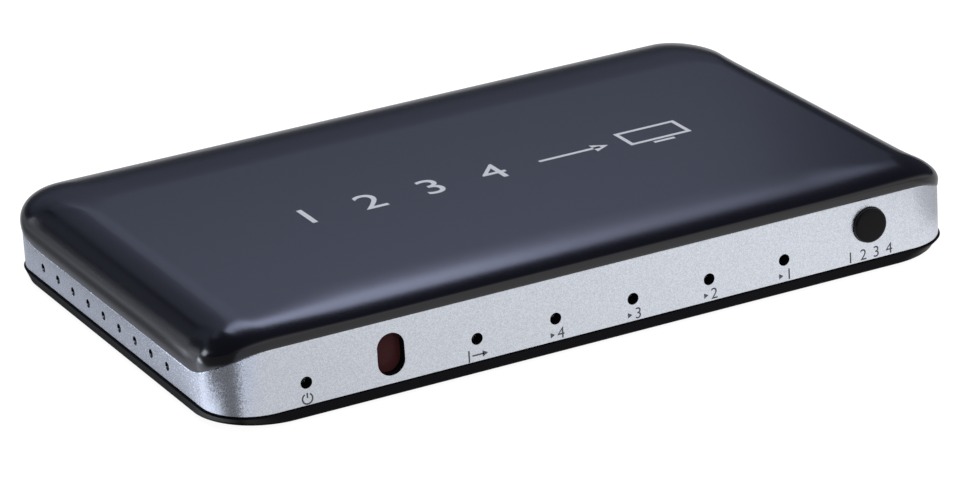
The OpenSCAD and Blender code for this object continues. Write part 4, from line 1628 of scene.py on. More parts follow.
@dataclass
class BaseTray:
    """The black base: a shallow tray with a locating rim, screw wells and standoffs.

    Attributes:
        proud: How far its wall stands out past the band.
        foot_corner: Radius of its lower corners.
        seam: Width of the chamfer under the band.
        rim_out: Inset of the locating rim's outside.
        rim_in: Inset of its inside.
        cap_border: Width of the flat border inside floor and underside.
        root: How far pads and standoffs reach into the floor.
        seat_radius: Radius of a foot's seat.
        seat_depth: Its depth.
    """

    case: CaseForm
    proud: float = 0.3 * MM
    foot_corner: float = 12 * MM
    edge: float = 0.5 * MM
    edge_steps: int = 6
    seam: float = 0.15 * MM
    rim_out: float = 1.95 * MM
    rim_in: float = 2.95 * MM
    rim_height: float = 1.8 * MM
    floor: float = 1.2 * MM
    cap_border: float = 3 * MM
    root: float = 0.6 * MM
    pad_radius: float = 3.5 * MM
    pad_height: float = 2.2 * MM
    post_radius: float = 2.75 * MM
    well_radius: float = 2.5 * MM
    well_depth: float = 1.6 * MM
    seat_radius: float = 4.1 * MM
    seat_depth: float = 0.5 * MM
    bore_radius: float = 1.35 * MM
    bore_depth: float = 6 * MM

    def build(self) -> bpy.types.Object:
        """Builds the tray, its pads and standoffs, then cuts its wells.

        Returns:
            The base.
        """
        case = self.case
        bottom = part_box("bottom_cover")[0].z
        inside = bottom + self.floor
        rings = []
        for i in range(self.edge_steps + 1):
            angle = math.pi / 2 * i / self.edge_steps
            inset = self.edge * (1 - math.sin(angle)) - self.proud
            height = bottom + self.edge * (1 - math.cos(angle))
            rings.append(case.plain_ring(inset, height, self.foot_corner))
        outer_corner = case.corner + self.proud
        rings += [
            case.plain_ring(-self.proud, case.line - self.seam, outer_corner),
            case.plain_ring(self.seam - self.proud, case.line, outer_corner),
            case.plain_ring(self.rim_out, case.line),
            case.plain_ring(self.rim_out, case.line + self.rim_height),
            case.plain_ring(self.rim_in, case.line + self.rim_height),
            case.plain_ring(self.rim_in, inside),
        ]
        mesh = bmesh.new()
        loft(mesh, rings, inset=self.cap_border)
        piece = finished("base_tray", mesh)
        self.add_posts(piece, inside)
        self.cut_wells(piece, bottom)
        shade(piece, 32)
        even_shading(piece)
        return dress(piece, BASE, CASE_BODY, "bottom_cover")

    def add_posts(self, piece: bpy.types.Object, inside: float) -> None:
        """Joins the pads of the case screws and the standoffs of the board.

        Args:
            piece: The base.
            inside: Height of its floor.
        """
        posts = bmesh.new()
        root, pad = inside - self.root, inside + self.pad_height
        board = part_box("circuit_board")[0].z
        self.rods(posts, "case_screws", self.pad_radius, root, pad, 40)
        self.rods(posts, "board_screws", self.post_radius, root, board, 40)
        cut(piece, posts, "UNION")

    def cut_wells(self, piece: bpy.types.Object, bottom: float) -> None:
        """Cuts the screws' wells and bores, and the seats of the feet.

        Args:
            piece: The base.
            bottom: Height of its underside.
        """
        wells = bmesh.new()
        start, well, seat = bottom - MM, bottom + self.well_depth, bottom + self.seat_depth
        self.rods(wells, "case_screws", self.well_radius, start, well, 40)
        self.rods(wells, "rubber_feet", self.seat_radius, start, seat, 48)
        cut(piece, wells)
        bores = bmesh.new()
        end = bottom + self.bore_depth
        self.rods(bores, "case_screws", self.bore_radius, bottom, end, 32)
        cut(piece, bores)

    @staticmethod
    def rods(
        mesh: bmesh.types.BMesh, node: str, radius: float, low: float, high: float,
        segments: int,
    ) -> None:
        """Adds an upright rod at each of four like pieces.

        Args:
            mesh: The mesh to add to.
            node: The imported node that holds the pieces.
            radius: Radius of a rod.
            low: Height of its foot.
            high: Height of its top.
            segments: Number of its sides.
        """
        for centre in screw_places(node):
            rod(mesh, radius, Vector((*centre, low)), Vector((*centre, high)), segments)


def screw_places(node: str) -> list[tuple[float, float]]:
    """Finds the middles of four like pieces that stand at a rectangle's corners.

    Args:
        node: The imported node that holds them.

    Returns:
        X and Y of each middle.
    """
    low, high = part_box(node)
    points = [v.co for v in frame["nodes"][node].data.vertices]
    corner = [p for p in points if p.x > 0 and p.y > (low.y + high.y) / 2]
    half = (high.x - min(p.x for p in corner)) / 2
    return [
        (sx * (high.x - half), y)
        for sx in (-1, 1)
        for y in (low.y + half, high.y - half)
    ]


@dataclass
class RubberFeet:
    """Four round feet with a soft edge and a shallow dish.

    Attributes:
        dish_share: Radius of the dish's floor, as a share of the foot's.
        ring_share: Radius at which the flat ring starts.
    """

    radius: float = 4 * MM
    rounding: float = 0.25 * MM
    steps: int = 4
    dish: float = 0.12 * MM
    dish_share: float = 0.6
    ring_share: float = 0.72

    def build(self) -> bpy.types.Object:
        """Builds the four feet as one piece.

        Returns:
            The feet.
        """
        low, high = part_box("rubber_feet")
        r, height = self.radius, high.z - low.z
        profile = [
            (0.0, self.dish), (r * self.dish_share, self.dish),
            (r * self.ring_share, 0.0), (r - self.rounding, 0.0),
            *rounded_edge(r, self.rounding, 0.0, self.steps),
            (r, height), (0.0, height),
        ]
        feet = repeated(
            "rubber_feet_dished", turned(profile), screw_places("rubber_feet"), low.z
        )
        return dress(feet, FOOT_RUBBER, CASE_BODY, "rubber_feet")


def repeated(
    name: str,
    mesh: bmesh.types.BMesh,
    places: Iterable[tuple[float, float]],
    z: float,
) -> bpy.types.Object:
    """Makes one piece of several copies of an upright solid.

    Args:
        name: The piece's name.
        mesh: The solid at the origin, which is freed.
        places: X and Y of each copy.
        z: Height of the copies' origin.

    Returns:
        The new piece.
    """
    one = bpy.data.meshes.new(name + "_one")
    bmesh.ops.recalc_face_normals(mesh, faces=mesh.faces)
    mesh.to_mesh(one)
    mesh.free()
    whole = bmesh.new()
    for x, y in places:
        before = len(whole.verts)
        whole.from_mesh(one)
        whole.verts.ensure_lookup_table()
        bmesh.ops.translate(whole, verts=whole.verts[before:], vec=(x, y, z))
    bpy.data.meshes.remove(one)
    return finished(name, whole)


# The front's features


class FrontRow:
    """Places of the lamps behind the front.

    Attributes:
        NAMES: The lamps, from left to right.
    """

    NAMES = ("power", "out", "in4", "in3", "in2", "in1")

    def lamps(self) -> list[Vector]:
        """Finds the middles of the lamps.

        Returns:
            The middles, from left to right.
        """
        middles = []
        for name in self.NAMES:
            low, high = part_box("led_" + name)
            middles.append((low + high) / 2)
        return middles


@dataclass
class SelectButton:
    """The round select button, with a soft edge and a hardly domed face.

    Attributes:
        dome: Depth by which the face's middle stands out before its edge.
        bend: Radius at which the face bends, as a share of the cap's.
        bend_rise: Depth there, as a share of the dome.
        stem_length: Distance from the flange to the stem's end.
    """

    radius: float = 3 * MM
    rounding: float = 0.55 * MM
    dome: float = 0.06 * MM
    bend: float = 0.45
    bend_rise: float = 0.3
    steps: int = 8
    stem_length: float = 2.8 * MM
    stem_radius: float = 1.5 * MM
    flange_radius: float = 3.6 * MM
    flange_thickness: float = 0.8 * MM

    def build(self) -> bpy.types.Object:
        """Builds the button round its own axis, then lays it along Y.

        Returns:
            The button.
        """
        low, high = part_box("select_button")
        centre = (low + high) / 2
        length = high.y - low.y
        r, stem = self.radius, self.stem_radius
        flange = length - self.stem_length
        behind = flange + self.flange_thickness
        profile = [
            (0.0, 0.0), (r * self.bend, self.dome * self.bend_rise),
            (r - self.rounding, self.dome),
            *rounded_edge(r, self.rounding, self.dome, self.steps),
            (r, flange), (self.flange_radius, flange), (self.flange_radius, behind),
            (stem, behind), (stem, length), (0.0, length),
        ]
        mesh = turned(profile, 96)
        lay = Matrix.Translation((centre.x, low.y, centre.z)) @ Matrix.Rotation(
            -math.pi / 2, 4, "X"
        )
        bmesh.ops.transform(mesh, matrix=lay, verts=mesh.verts)
        piece = finished("select_button_cap", mesh, 40)
        even_shading(piece)
        return dress(piece, BUTTON, BUTTON_BODY, "select_button")


@dataclass
class SnapDome:
    """The thin metal dome in the switch, which the plunger presses flatter.

    Attributes:
        joint: The joint that presses it. Not used.
        slack: How much further than the joint it gives. Not used.
    """

    joint: str = "select_press"
    skin: float = 0.1 * MM
    slack: float = 0.002 * MM
    steps: int = 10

    def arc(self, radius: float, centre: float) -> list[tuple[float, float]]:
        """Draws half of the dome's section.

        Args:
            radius: Radius of the ball that the dome is a cap of.
            centre: Height of that ball's middle, below the dome's rim.

        Returns:
            Radius and height of each point, from the axis to the rim.
        """
        sweep = math.acos(-centre / radius)
        return [
            (radius * math.sin(a), centre + radius * math.cos(a))
            for a in (sweep * i / self.steps for i in range(self.steps + 1))
        ]

    def build(self) -> bpy.types.Object:
        """Builds the dome round its own axis, lays it along Y and sets it on the case's body.

        Returns:
            The dome.
        """
        low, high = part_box("switch_dome")
        rim, rise = (high.x - low.x) / 2, high.y - low.y
        ball = (rim * rim + rise * rise) / (2 * rise)
        outer = self.arc(ball, rise - ball)
        inner = self.arc(ball - self.skin, rise - ball)
        mesh = turned(outer + inner[::-1], 64)
        base = Vector(((low.x + high.x) / 2, high.y, (low.z + high.z) / 2))
        lay = Matrix.Translation(base) @ Matrix.Rotation(math.pi / 2, 4, "X")
        bmesh.ops.transform(mesh, matrix=lay, verts=mesh.verts)
        piece = dress(
            finished("switch_snap_dome", mesh, 60), TINNED, CASE_BODY, "switch_dome"
        )
        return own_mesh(piece)


@dataclass
class InfraredWindow:
    """The dark red window, a plain pane behind the band's slot.

    Attributes:
        recess: Distance of its face from the band's outside.
        edge: Width of its soft edge.
    """

    case: CaseForm
    recess: float = 1.74 * MM
    edge: float = 0.12 * MM

    def build(self) -> bpy.types.Object:
        """Builds the pane with softened edges.

        Returns:
            The pane.
        """
        low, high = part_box("ir_window")
        front = self.case.low.y + self.recess
        mesh = bmesh.new()
        block(mesh, Vector((low.x, front, low.z)), high)
        bmesh.ops.bevel(
            mesh, geom=mesh.edges, offset=self.edge, segments=2, profile=0.5,
            affect="EDGES", material=-1,
        )
        return dress(finished("ir_window_pane", mesh), PANE, CASE_BODY, "ir_window")


@dataclass
class CaseScrews:
    """The four screws under the base, with rounded heads and crossed recesses.

    Attributes:
        face_rise: Depth by which the head's middle stands out before its edge.
        threads: Number of crests.
        root_share: Radius between the crests, as a share of theirs.
        crest: Place of a crest in its pitch, as a share.
        trough: Place of the trough after it.
        slot_reach: Its length, as a share of the head's radius.
    """

    head_radius: float = 2.3 * MM
    head_height: float = 1.4 * MM
    edge: float = 0.5 * MM
    edge_steps: int = 5
    face_rise: float = 0.02 * MM
    shank_radius: float = 1.25 * MM
    threads: int = 16
    root_share: float = 0.84
    crest: float = 0.5
    trough: float = 0.9
    slot_width: float = 0.5 * MM
    slot_depth: float = 0.8 * MM
    slot_reach: float = 1.15

    def build(self) -> bpy.types.Object:
        """Builds one screw and repeats it.

        Returns:
            The screws.
        """
        low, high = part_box("case_screws")
        length = high.z - low.z
        r, h, s = self.head_radius, self.head_height, self.shank_radius
        root = s * self.root_share
        profile = [
            (0.0, 0.0), (r - self.edge, self.face_rise),
            *rounded_edge(r, self.edge, self.face_rise, self.edge_steps), (r, h), (s, h),
        ]
        pitch = (length - h - s) / self.threads
        for i in range(self.threads):
            profile += [(s, h + (i + self.crest) * pitch), (root, h + (i + self.trough) * pitch)]
        profile += [(root, length - s), (s / 3, length), (0.0, length)]
        one = finished("screw_tool", turned(profile, 48))
        for half_x, half_y in (
            (r * self.slot_reach / 2, self.slot_width / 2),
            (self.slot_width / 2, r * self.slot_reach / 2),
        ):
            slot = bmesh.new()
            block(
                slot, Vector((-half_x, -half_y, -MM)), Vector((half_x, half_y, self.slot_depth))
            )
            cut(one, slot)
        screws = repeated("case_screws_pan", lifted(one), screw_places("case_screws"), low.z)
        return dress(screws, SCREW_BLACK, CASE_BODY, "case_screws")


class Pen:
    """Draws flat print as thin solids, in a plane of its own.

    X runs to the right, Y up and Z out of the print.

    Attributes:
        CAPITAL: Height of a numeral, as a share of the font's size.
        ARC_STEP: Largest step along an arc, in degrees.
        ARC_LEAST: Least number of steps of an arc.
    """

    CAPITAL = 0.73
    ARC_STEP = 7.5
    ARC_LEAST = 6

    def __init__(self, stroke: float, thickness: float) -> None:
        """Starts an empty print.

        Args:
            stroke: Width of a line.
            thickness: Thickness of the ink.
        """
        self.mesh = bmesh.new()
        self.stroke = stroke
        self.thickness = thickness

    def line(self, start: tuple[float, float], end: tuple[float, float]) -> None:
        """Draws a straight line.

        Args:
            start: One end.
            end: The other end.
        """
        first, last = Vector((*start, 0.0)), Vector((*end, 0.0))
        along = last - first
        turn = Matrix.Rotation(math.atan2(along.y, along.x), 4, "Z")
        size = Matrix.Diagonal((along.length, self.stroke, self.thickness, 1.0))
        place = Matrix.Translation((first + last) / 2) @ turn @ size
        bmesh.ops.create_cube(self.mesh, size=1.0, matrix=place)

    def arc(
        self, centre: tuple[float, float], radius: float, start: float, sweep: float
    ) -> None:
        """Draws part of a circle.

        Args:
            centre: The circle's middle.
            radius: Its radius.
            start: Where the line starts, in degrees from the right.
            sweep: How far it goes round, in degrees.
        """
        middle = Vector((*centre, 0.0))
        turn = Matrix.Rotation(math.radians(start), 4, "Z")
        section = bmesh.ops.create_grid(
            self.mesh, x_segments=1, y_segments=1, size=0.5,
            matrix=Matrix.Translation(middle) @ turn
            @ Matrix.Translation((radius, 0.0, 0.0))
            @ Matrix.Rotation(math.pi / 2, 4, "X")
            @ Matrix.Diagonal((self.stroke, self.thickness, 1.0, 1.0)),
        )["verts"]
        face = section[0].link_faces[0]
        whole = abs(sweep) >= 360
        bmesh.ops.spin(
            self.mesh, geom=[face, *face.edges, *face.verts], cent=middle, axis=(0, 0, 1),
            angle=math.radians(sweep), use_merge=whole,
            steps=max(self.ARC_LEAST, int(abs(sweep) / self.ARC_STEP)),
        )

    def head(self, tip: tuple[float, float], direction: float, size: float) -> None:
        """Draws a filled arrowhead.

        Args:
            tip: The arrowhead's tip.
            direction: Where it points, in degrees from the right.
            size: Its radius.
        """
        turn = Matrix.Rotation(math.radians(direction - 90), 4, "Z")
        place = Matrix.Translation((*tip, 0.0)) @ turn @ Matrix.Translation((0, -size, 0))
        bmesh.ops.create_cone(
            self.mesh, cap_ends=True, segments=3, radius1=size, radius2=size,
            depth=self.thickness, matrix=place,
        )

    def numeral(self, text: str, centre: tuple[float, float], height: float) -> None:
        """Prints a plain numeral.

        Args:
            text: The numeral.
            centre: Its middle.
            height: Its height.
        """
        letters = bpy.data.curves.new("numeral", "FONT")
        letters.body = text
        letters.align_x, letters.align_y = "CENTER", "CENTER"
        letters.size = height / self.CAPITAL
        letters.extrude = self.thickness / 2
        holder = bpy.data.objects.new("numeral", letters)
        bpy.context.scene.collection.objects.link(holder)
        view = bpy.context.evaluated_depsgraph_get()
        data = bpy.data.meshes.new_from_object(holder.evaluated_get(view))
        data.transform(Matrix.Translation((*centre, 0.0)))
        self.mesh.from_mesh(data)
        bpy.data.objects.remove(holder)
        bpy.data.curves.remove(letters)
        bpy.data.meshes.remove(data)

    def printed(
        self, name: str, finish: Finish, place: Matrix
    ) -> bpy.types.Object:
        """Lays the print on its surface.

        Args:
            name: The piece's name.
            finish: The ink.
            place: Where the print's own axes lie.

        Returns:
            The print.
        """
        bmesh.ops.transform(self.mesh, matrix=place, verts=self.mesh.verts)
        bmesh.ops.remove_doubles(self.mesh, verts=self.mesh.verts, dist=MERGE)
        return dress(finished(name, self.mesh), finish, CASE_BODY)


@dataclass
class FrontMarks:
    """Plain numerals and symbols under the lamps and the button.

    Attributes:
        lift: Height of their middles above the line.
        pointer: Radius of the small triangle before a numeral.
        pointer_left: Distance of its tip to the left of the lamp.
        numeral_right: Distance of the numeral to the right of the lamp.
        ring_share: Radius of the power symbol's ring, as a share of the height.
        stem: Height of its stroke's lower and upper end, as shares of its radius.
        bar: Distance of the output symbol's bar to the left of the lamp.
        shaft: Distance of its arrow's start and end to the right of the lamp.
        tip: Distance of its arrow's tip to the right of the lamp.
    """

    case: CaseForm
    stroke: float = 0.27 * MM
    ink: float = 0.02 * MM
    lift: float = 1.3 * MM
    height: float = 2 * MM
    select_pitch: float = 2.5 * MM
    pointer: float = 0.55 * MM
    pointer_left: float = 0.25 * MM
    numeral_right: float = 0.85 * MM
    ring_share: float = 0.44
    ring_start: float = 120.0
    ring_sweep: float = 300.0
    stem: tuple[float, float] = (0.1 / 0.88, 1.15)
    bar: float = 1.6 * MM
    shaft: tuple[float, float] = (-1 * MM, 1.1 * MM)
    tip: float = 1.8 * MM
    arrow: float = 0.65 * MM

    def build(self) -> bpy.types.Object:
        """Prints all marks as one piece.

        Returns:
            The print.
        """
        pen = Pen(self.stroke, self.ink)
        y = self.case.line + self.lift
        power, out, *inputs = FrontRow().lamps()
        self.power_mark(pen, power.x, y)
        self.output_mark(pen, out.x, y)
        for number, lamp in zip("4321", inputs):
            pen.head((lamp.x - self.pointer_left, y), 0, self.pointer)
            pen.numeral(number, (lamp.x + self.numeral_right, y), self.height)
        low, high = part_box("select_button")
        for i, number in enumerate("1234"):
            x = (low.x + high.x) / 2 + (i - 1.5) * self.select_pitch
            pen.numeral(number, (x, y), self.height)
        stand = Matrix.Translation((0, self.case.low.y, 0)) @ Matrix.Rotation(
            math.pi / 2, 4, "X"
        )
        return pen.printed("front_marks", FRONT_INK, stand)

    def power_mark(self, pen: Pen, x: float, y: float) -> None:
        """Draws an open ring with an upright stroke.

        Args:
            pen: The pen.
            x: The ring's middle, to the right.
            y: The ring's middle, upwards.
        """
        radius = self.height * self.ring_share
        low, high = self.stem
        pen.arc((x, y), radius, self.ring_start, self.ring_sweep)
        pen.line((x, y + radius * low), (x, y + radius * high))

    def output_mark(self, pen: Pen, x: float, y: float) -> None:
        """Draws an arrow that leaves a short bar.

        Args:
            pen: The pen.
            x: Place of the lamp above it, to the right.
            y: Its middle, upwards.
        """
        start, end = self.shaft
        pen.line((x - self.bar, y - self.height / 2), (x - self.bar, y + self.height / 2))
        pen.line((x + start, y), (x + end, y))
        pen.head((x + self.tip, y), 0, self.arrow)


@dataclass
class CoverMarks:
    """White print on the cover: the four inputs, an arrow and a screen.

    Attributes:
        centre: Middle of the print, along X and Y.
        half_length: Half of its length.
        indent: Distance of the first numeral from the left end, as a share of the height.
        shaft_start: Start of the arrow, in pitches from the first numeral.
        shaft_end: Distance from the end of its line to its tip.
        stand: Height of the screen above its foot.
        foot: Half of the foot's width.
    """

    case: CaseForm
    stroke: float = 0.75 * MM
    ink: float = 0.02 * MM
    centre: tuple[float, float] = (1.8 * MM, -3.4 * MM)
    half_length: float = 36.5 * MM
    pitch: float = 11.5 * MM
    height: float = 7 * MM
    indent: float = 0.3
    shaft_start: float = 3.75
    arrow_gap: float = 3.5 * MM
    shaft_end: float = 1.5 * MM
    arrow: float = 1.9 * MM
    screen: tuple[float, float] = (11 * MM, 7 * MM)
    stand: float = 1.3 * MM
    foot: float = 2 * MM

    def build(self) -> bpy.types.Object:
        """Prints numerals, arrow and screen as one piece.

        Returns:
            The print.
        """
        pen = Pen(self.stroke, self.ink)
        left = -self.half_length + self.height * self.indent
        for i, number in enumerate("1234"):
            pen.numeral(number, (left + i * self.pitch, 0.0), self.height)
        self.screen_mark(pen, self.half_length - self.screen[0] / 2)
        start = left + self.shaft_start * self.pitch
        tip = self.half_length - self.screen[0] - self.arrow_gap
        pen.line((start, 0.0), (tip - self.shaft_end, 0.0))
        pen.head((tip, 0.0), 0, self.arrow)
        height = self.case.line + self.case.top + self.ink / 2
        return pen.printed(
            "cover_marks", COVER_INK, Matrix.Translation((*self.centre, height))
        )

    def screen_mark(self, pen: Pen, x: float) -> None:
        """Draws a screen's outline on a short foot.

        Args:
            pen: The pen.
            x: The screen's middle, to the right.
        """
        half_x, half_y = self.screen[0] / 2, self.screen[1] / 2
        low = self.stand - half_y
        t = self.stroke / 2
        for height in (low, half_y):
            pen.line((x - half_x - t, height), (x + half_x + t, height))
        for side in (-half_x, half_x):
            pen.line((x + side, low + t), (x + side, half_y - t))
        pen.line((x - self.foot, -half_y), (x + self.foot, -half_y))


# The stage


WHITE = (1.0, 1.0, 1.0)
COOL = (0.88, 0.97, 1.36)
PALE_BLUE = (0.93, 0.99, 1.13)


@dataclass(frozen=True)
class SoftBox:
    """A long studio light that faces the box.

    Its ends are given as seen from the box: degrees to the right of straight behind it, and
    degrees above the desk.

    Attributes:
        name: The light's name.
        start: Direction of its left end.
        end: Direction of its right end.
        width: Its width as seen from the box, in degrees.
        radiance: Its brightness, where white paper in plain light is 1.
        distance: Distance from the box.
        tint: Its colour.
        mirrored: Whether polished faces show it.
    """

    name: str
    start: tuple[float, float]
    end: tuple[float, float]
    width: float
    radiance: float
    distance: float = 2.0
    tint: Colour = WHITE
    mirrored: bool = True

    @staticmethod
    def direction(azimuth: float, elevation: float) -> Vector:
        """Gives the unit vector of a direction.

        Args:
            azimuth: Degrees to the right of straight behind the box.
            elevation: Degrees above the desk.

        Returns:
            The vector.
        """
        turn, lift = math.radians(azimuth), math.radians(elevation)
        return Vector((
            math.sin(turn) * math.cos(lift), math.cos(turn) * math.cos(lift), math.sin(lift)
        ))

    def build(self) -> bpy.types.Object:
        """Adds the light to the scene.

        Returns:
            The light.
        """
        start, end = self.direction(*self.start), self.direction(*self.end)
        away = (start + end).normalized()
        along = (end - start).normalized()
        length = 2 * self.distance * math.tan(start.angle(end) / 2)
        width = 2 * self.distance * math.tan(math.radians(self.width) / 2)
        data = bpy.data.lights.new(self.name, "AREA")
        data.shape = "RECTANGLE"
        data.size, data.size_y = length, width
        data.energy = self.radiance * math.pi * length * width
        data.color = self.tint
        lamp = bpy.data.objects.new(self.name, data)
        lamp.visible_glossy = self.mirrored
        axes = Matrix((along, away.cross(along), away)).transposed()
        lamp.matrix_world = Matrix.Translation(away * self.distance) @ axes.to_4x4()
        bpy.context.scene.collection.objects.link(lamp)
        return lamp


@dataclass(frozen=True)
class ProductCamera:
    """The long lens that the box is seen through.

    Attributes:
        place: The lens's place.
        turn: Its rotation about X, Y and Z, in degrees.
        lens: Focal length in millimetres.
        sensor: Sensor width in millimetres.
    """

    place: tuple[float, float, float] = (-0.32712, -0.65951, 0.29512)
    turn: tuple[float, float, float] = (68.356, 3.266, -27.696)
    lens: float = 176.1
    sensor: float = 36.0

    def build(self) -> bpy.types.Object:
        """Adds the camera and makes it the scene's own.

        Returns:
            The camera.
        """
        data = bpy.data.cameras.new("product_camera")
        data.lens = self.lens
        data.sensor_width = self.sensor
        camera = bpy.data.objects.new("product_camera", data)
        camera.location = self.place
        camera.rotation_euler = [math.radians(a) for a in self.turn]
        bpy.context.scene.collection.objects.link(camera)
        bpy.context.scene.camera = camera
        return camera


class Way(Enum):
    """Ways across the floor, each as how much X and Y count in the place along it."""

    RIGHT = (1.0, 0.0)
    BACK = (0.0, 1.0)
    PAST_SIDE = (2.0, 1.0)
    PAST_FRONT = (-0.9, 1.0)


@dataclass(frozen=True)
class Fade:
    """A smooth step of the floor's glow in a mirror.

    Attributes:
        way: The way across the floor that it follows.
        start: Place along that way where the step starts.
        end: Place where it ends.
        low: Level at its start.
        high: Level at its end.
    """

    way: Way
    start: float
    end: float
    low: float = 0.0
    high: float = 1.0


PATCH_GLOW = 0.86
LEFT_REACH = (
    Fade(Way.PAST_SIDE, -0.201, -0.187, 0.0, PATCH_GLOW),
    Fade(Way.BACK, -0.0425, -0.0365),
)
FLOOR_PATCHES = {
    "before_front": (
        Fade(Way.BACK, 0.0, -0.05, 0.0, PATCH_GLOW), Fade(Way.PAST_FRONT, 0.0175, 0.0135),
        Fade(Way.RIGHT, -0.1, 0.09, 0.68, 1.0), Fade(Way.RIGHT, 0.074, 0.082, 1.0, 0.5),
    ),
    "beside_left_wall": (*LEFT_REACH, Fade(Way.RIGHT, -0.0745, -0.079, 0.44, 0.1)),
    "far_left": (
        *LEFT_REACH, Fade(Way.RIGHT, -0.082, -0.1, 0.0, 0.7),
        Fade(Way.BACK, 0.05, 0.11, 1.0, 0.4),
    ),
    "corner_spot": (
        *LEFT_REACH, Fade(Way.PAST_SIDE, -0.171, -0.178, 0.0, 7.0),
        Fade(Way.RIGHT, -0.085, -0.091), Fade(Way.RIGHT, -0.097, -0.104, 1.0, 0.0),
    ),
    "corner_strip": (
        *LEFT_REACH, Fade(Way.PAST_SIDE, -0.164, -0.171, 0.0, 1.2),
        Fade(Way.RIGHT, -0.088, -0.1, 1.0, 0.5),
    ),
}


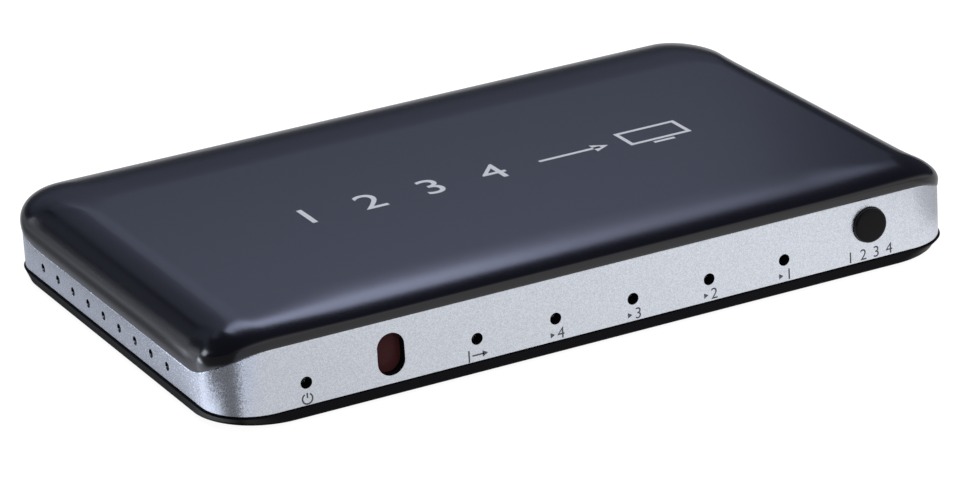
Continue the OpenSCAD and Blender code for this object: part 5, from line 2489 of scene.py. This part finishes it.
@dataclass
class Studio:
    """White floor, even surroundings and soft lights.

    Attributes:
        floor_grey: Its own colour, as the lights see it.
        camera_glow: Glow that makes it white to the camera.
        cool_start: Place along X left of which its glow in a mirror turns pale blue.
        cool_end: Place where it is pale blue.
        front_azimuth: Direction in which the surroundings are brightest, in degrees.
        turn_start: Cosine of the angle from there at which they start to brighten.
        turn_end: Cosine at which they are brightest.
    """

    floor_size: float = 6.0
    floor_grey: float = 0.24
    floor_roughness: float = 0.9
    camera_glow: float = 0.94
    cool_start: float = -0.06
    cool_end: float = -0.075
    front_azimuth: float = 160.0
    front_colour: Colour = (0.9, 0.9, 0.9)
    rear_colour: Colour = (0.05, 0.055, 0.078)
    turn_start: float = -0.05
    turn_end: float = 0.6
    lights: tuple[SoftBox, ...] = (
        SoftBox("long_strip", (-8, 42.5), (30, 32.5), 8.0, 2.7, 2.0, COOL),
        SoftBox("strip_tail", (30, 32.5), (36, 30.8), 7.0, 0.95, 2.0, COOL),
        SoftBox("glow_left", (-24, 30), (6, 29), 11.0, 0.22, 2.2, COOL),
        SoftBox("glow_right", (6, 28.5), (33, 25.5), 12.0, 0.43, 2.2, COOL),
        SoftBox("low_glow", (-40, 14), (34, 14), 12.0, 0.115, 2.4, COOL),
        SoftBox("left_box", (-43, 0), (-43, 11), 12.0, 4.3, 2.0, PALE_BLUE),
        SoftBox("overhead", (-90, 74), (90, 74), 34.0, 3.0, 1.5, mirrored=False),
    )

    def build(self) -> None:
        """Builds floor, surroundings, lights and camera."""
        ProductCamera().build()
        self.floor()
        self.surroundings()
        for light in self.lights:
            light.build()

    def floor(self) -> None:
        """Adds the floor, which is white to the camera and keeps the box's shadow."""
        mesh = bmesh.new()
        bmesh.ops.create_grid(mesh, x_segments=1, y_segments=1, size=self.floor_size / 2)
        piece = finished("studio_floor", mesh)
        material = bpy.data.materials.new("studio_white")
        material.use_nodes = True
        shader = material.node_tree.nodes["Principled BSDF"]
        shader.inputs["Base Color"].default_value = (*[self.floor_grey] * 3, 1.0)
        shader.inputs["Roughness"].default_value = self.floor_roughness
        shader.inputs["Specular IOR Level"].default_value = 0.0
        self.floor_glow(NodeWriter(material.node_tree), shader)
        piece.data.materials.append(material)

    def floor_glow(self, nodes: NodeWriter, shader: bpy.types.Node) -> None:
        """Makes the floor glow to the camera, and patch by patch to mirrors and glass.

        Args:
            nodes: Writes the material's nodes.
            shader: The material's shader.
        """
        path = nodes.add("ShaderNodeLightPath")
        place = nodes.add("ShaderNodeTexCoord")
        split = nodes.add("ShaderNodeSeparateXYZ")
        nodes.join(place.outputs["Object"], split.inputs[0])
        x, y = split.outputs["X"], split.outputs["Y"]
        in_mirror = nodes.sum_of(
            "MAXIMUM", path.outputs["Is Glossy Ray"], path.outputs["Is Transmission Ray"]
        )
        cool = nodes.sum_of(
            "MULTIPLY", in_mirror, nodes.fade(x, self.cool_start, self.cool_end)
        )
        nodes.join(nodes.blend(cool, WHITE, PALE_BLUE), shader.inputs["Emission Color"])
        mirrored = nodes.sum_of("MULTIPLY", in_mirror, self.patch_level(nodes, x, y))
        direct = nodes.sum_of("MULTIPLY", path.outputs["Is Camera Ray"], self.camera_glow)
        nodes.join(
            nodes.sum_of("ADD", direct, mirrored), shader.inputs["Emission Strength"]
        )

    @staticmethod
    def patch_level(
        nodes: NodeWriter, x: bpy.types.NodeSocket, y: bpy.types.NodeSocket
    ) -> bpy.types.NodeSocket:
        """Adds the glow of the brightest patch at each place.

        Args:
            nodes: Writes the material's nodes.
            x: Place along X.
            y: Place along Y.

        Returns:
            The socket that holds the level.
        """
        places = {}
        for way in Way:
            shares = zip((x, y), way.value)
            parts = [nodes.sum_of("MULTIPLY", *pair) for pair in shares]
            places[way] = nodes.chain("ADD", parts)
        levels = [
            nodes.chain("MULTIPLY", [
                nodes.fade(places[f.way], f.start, f.end, f.low, f.high) for f in patch
            ])
            for patch in FLOOR_PATCHES.values()
        ]
        return nodes.chain("MAXIMUM", levels)

    def surroundings(self) -> None:
        """Makes the world white to the camera, and bright only in front of the box."""
        world = bpy.data.worlds.new("studio_surround")
        bpy.context.scene.world = world
        world.use_nodes = True
        world.node_tree.nodes.clear()
        nodes = NodeWriter(world.node_tree)
        where = nodes.add("ShaderNodeTexCoord")
        facing = nodes.add("ShaderNodeVectorMath", operation="DOT_PRODUCT")
        facing.inputs[1].default_value = SoftBox.direction(self.front_azimuth, 0)
        nodes.join(where.outputs["Generated"], facing.inputs[0])
        share = nodes.fade(facing.outputs["Value"], self.turn_start, self.turn_end)
        even = nodes.add("ShaderNodeBackground")
        nodes.join(nodes.blend(share, self.rear_colour, self.front_colour), even.inputs[0])
        white = nodes.add("ShaderNodeBackground")
        white.inputs["Color"].default_value = (*WHITE, 1.0)
        path = nodes.add("ShaderNodeLightPath")
        mix = nodes.add("ShaderNodeMixShader")
        nodes.join(path.outputs["Is Camera Ray"], mix.inputs["Fac"])
        nodes.join(even.outputs["Background"], mix.inputs[1])
        nodes.join(white.outputs["Background"], mix.inputs[2])
        result = nodes.add("ShaderNodeOutputWorld")
        nodes.join(mix.outputs["Shader"], result.inputs["Surface"])


def dress_nodes() -> None:
    """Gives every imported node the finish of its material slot."""
    finishes = {finish.slot: finish for finish in NODE_FINISHES}
    for part in frame["record"]["subparts"]:
        node = frame["nodes"][part["node"]]
        finish = finishes[part["material_slot"]]
        node.data.materials.clear()
        node.data.materials.append(finish.build())


def main() -> None:
    """Builds every piece in order."""
    logging.basicConfig(level=logging.INFO, format="%(name)s: %(message)s")
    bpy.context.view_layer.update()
    bpy.context.scene.view_settings.view_transform = "Standard"
    Studio().build()
    dress_nodes()
    case = CaseForm()
    for maker in (
        TopCover(CaseForm(end_steps=16)), SilverBand(case), BaseTray(case), RubberFeet(),
        SelectButton(), SnapDome(), InfraredWindow(case), CaseScrews(), FrontMarks(case),
        CoverMarks(case),
    ):
        piece = maker.build()
        log.info("%s: %d faces", piece.name, len(piece.data.polygons))


if __name__ == "__main__":
    main()
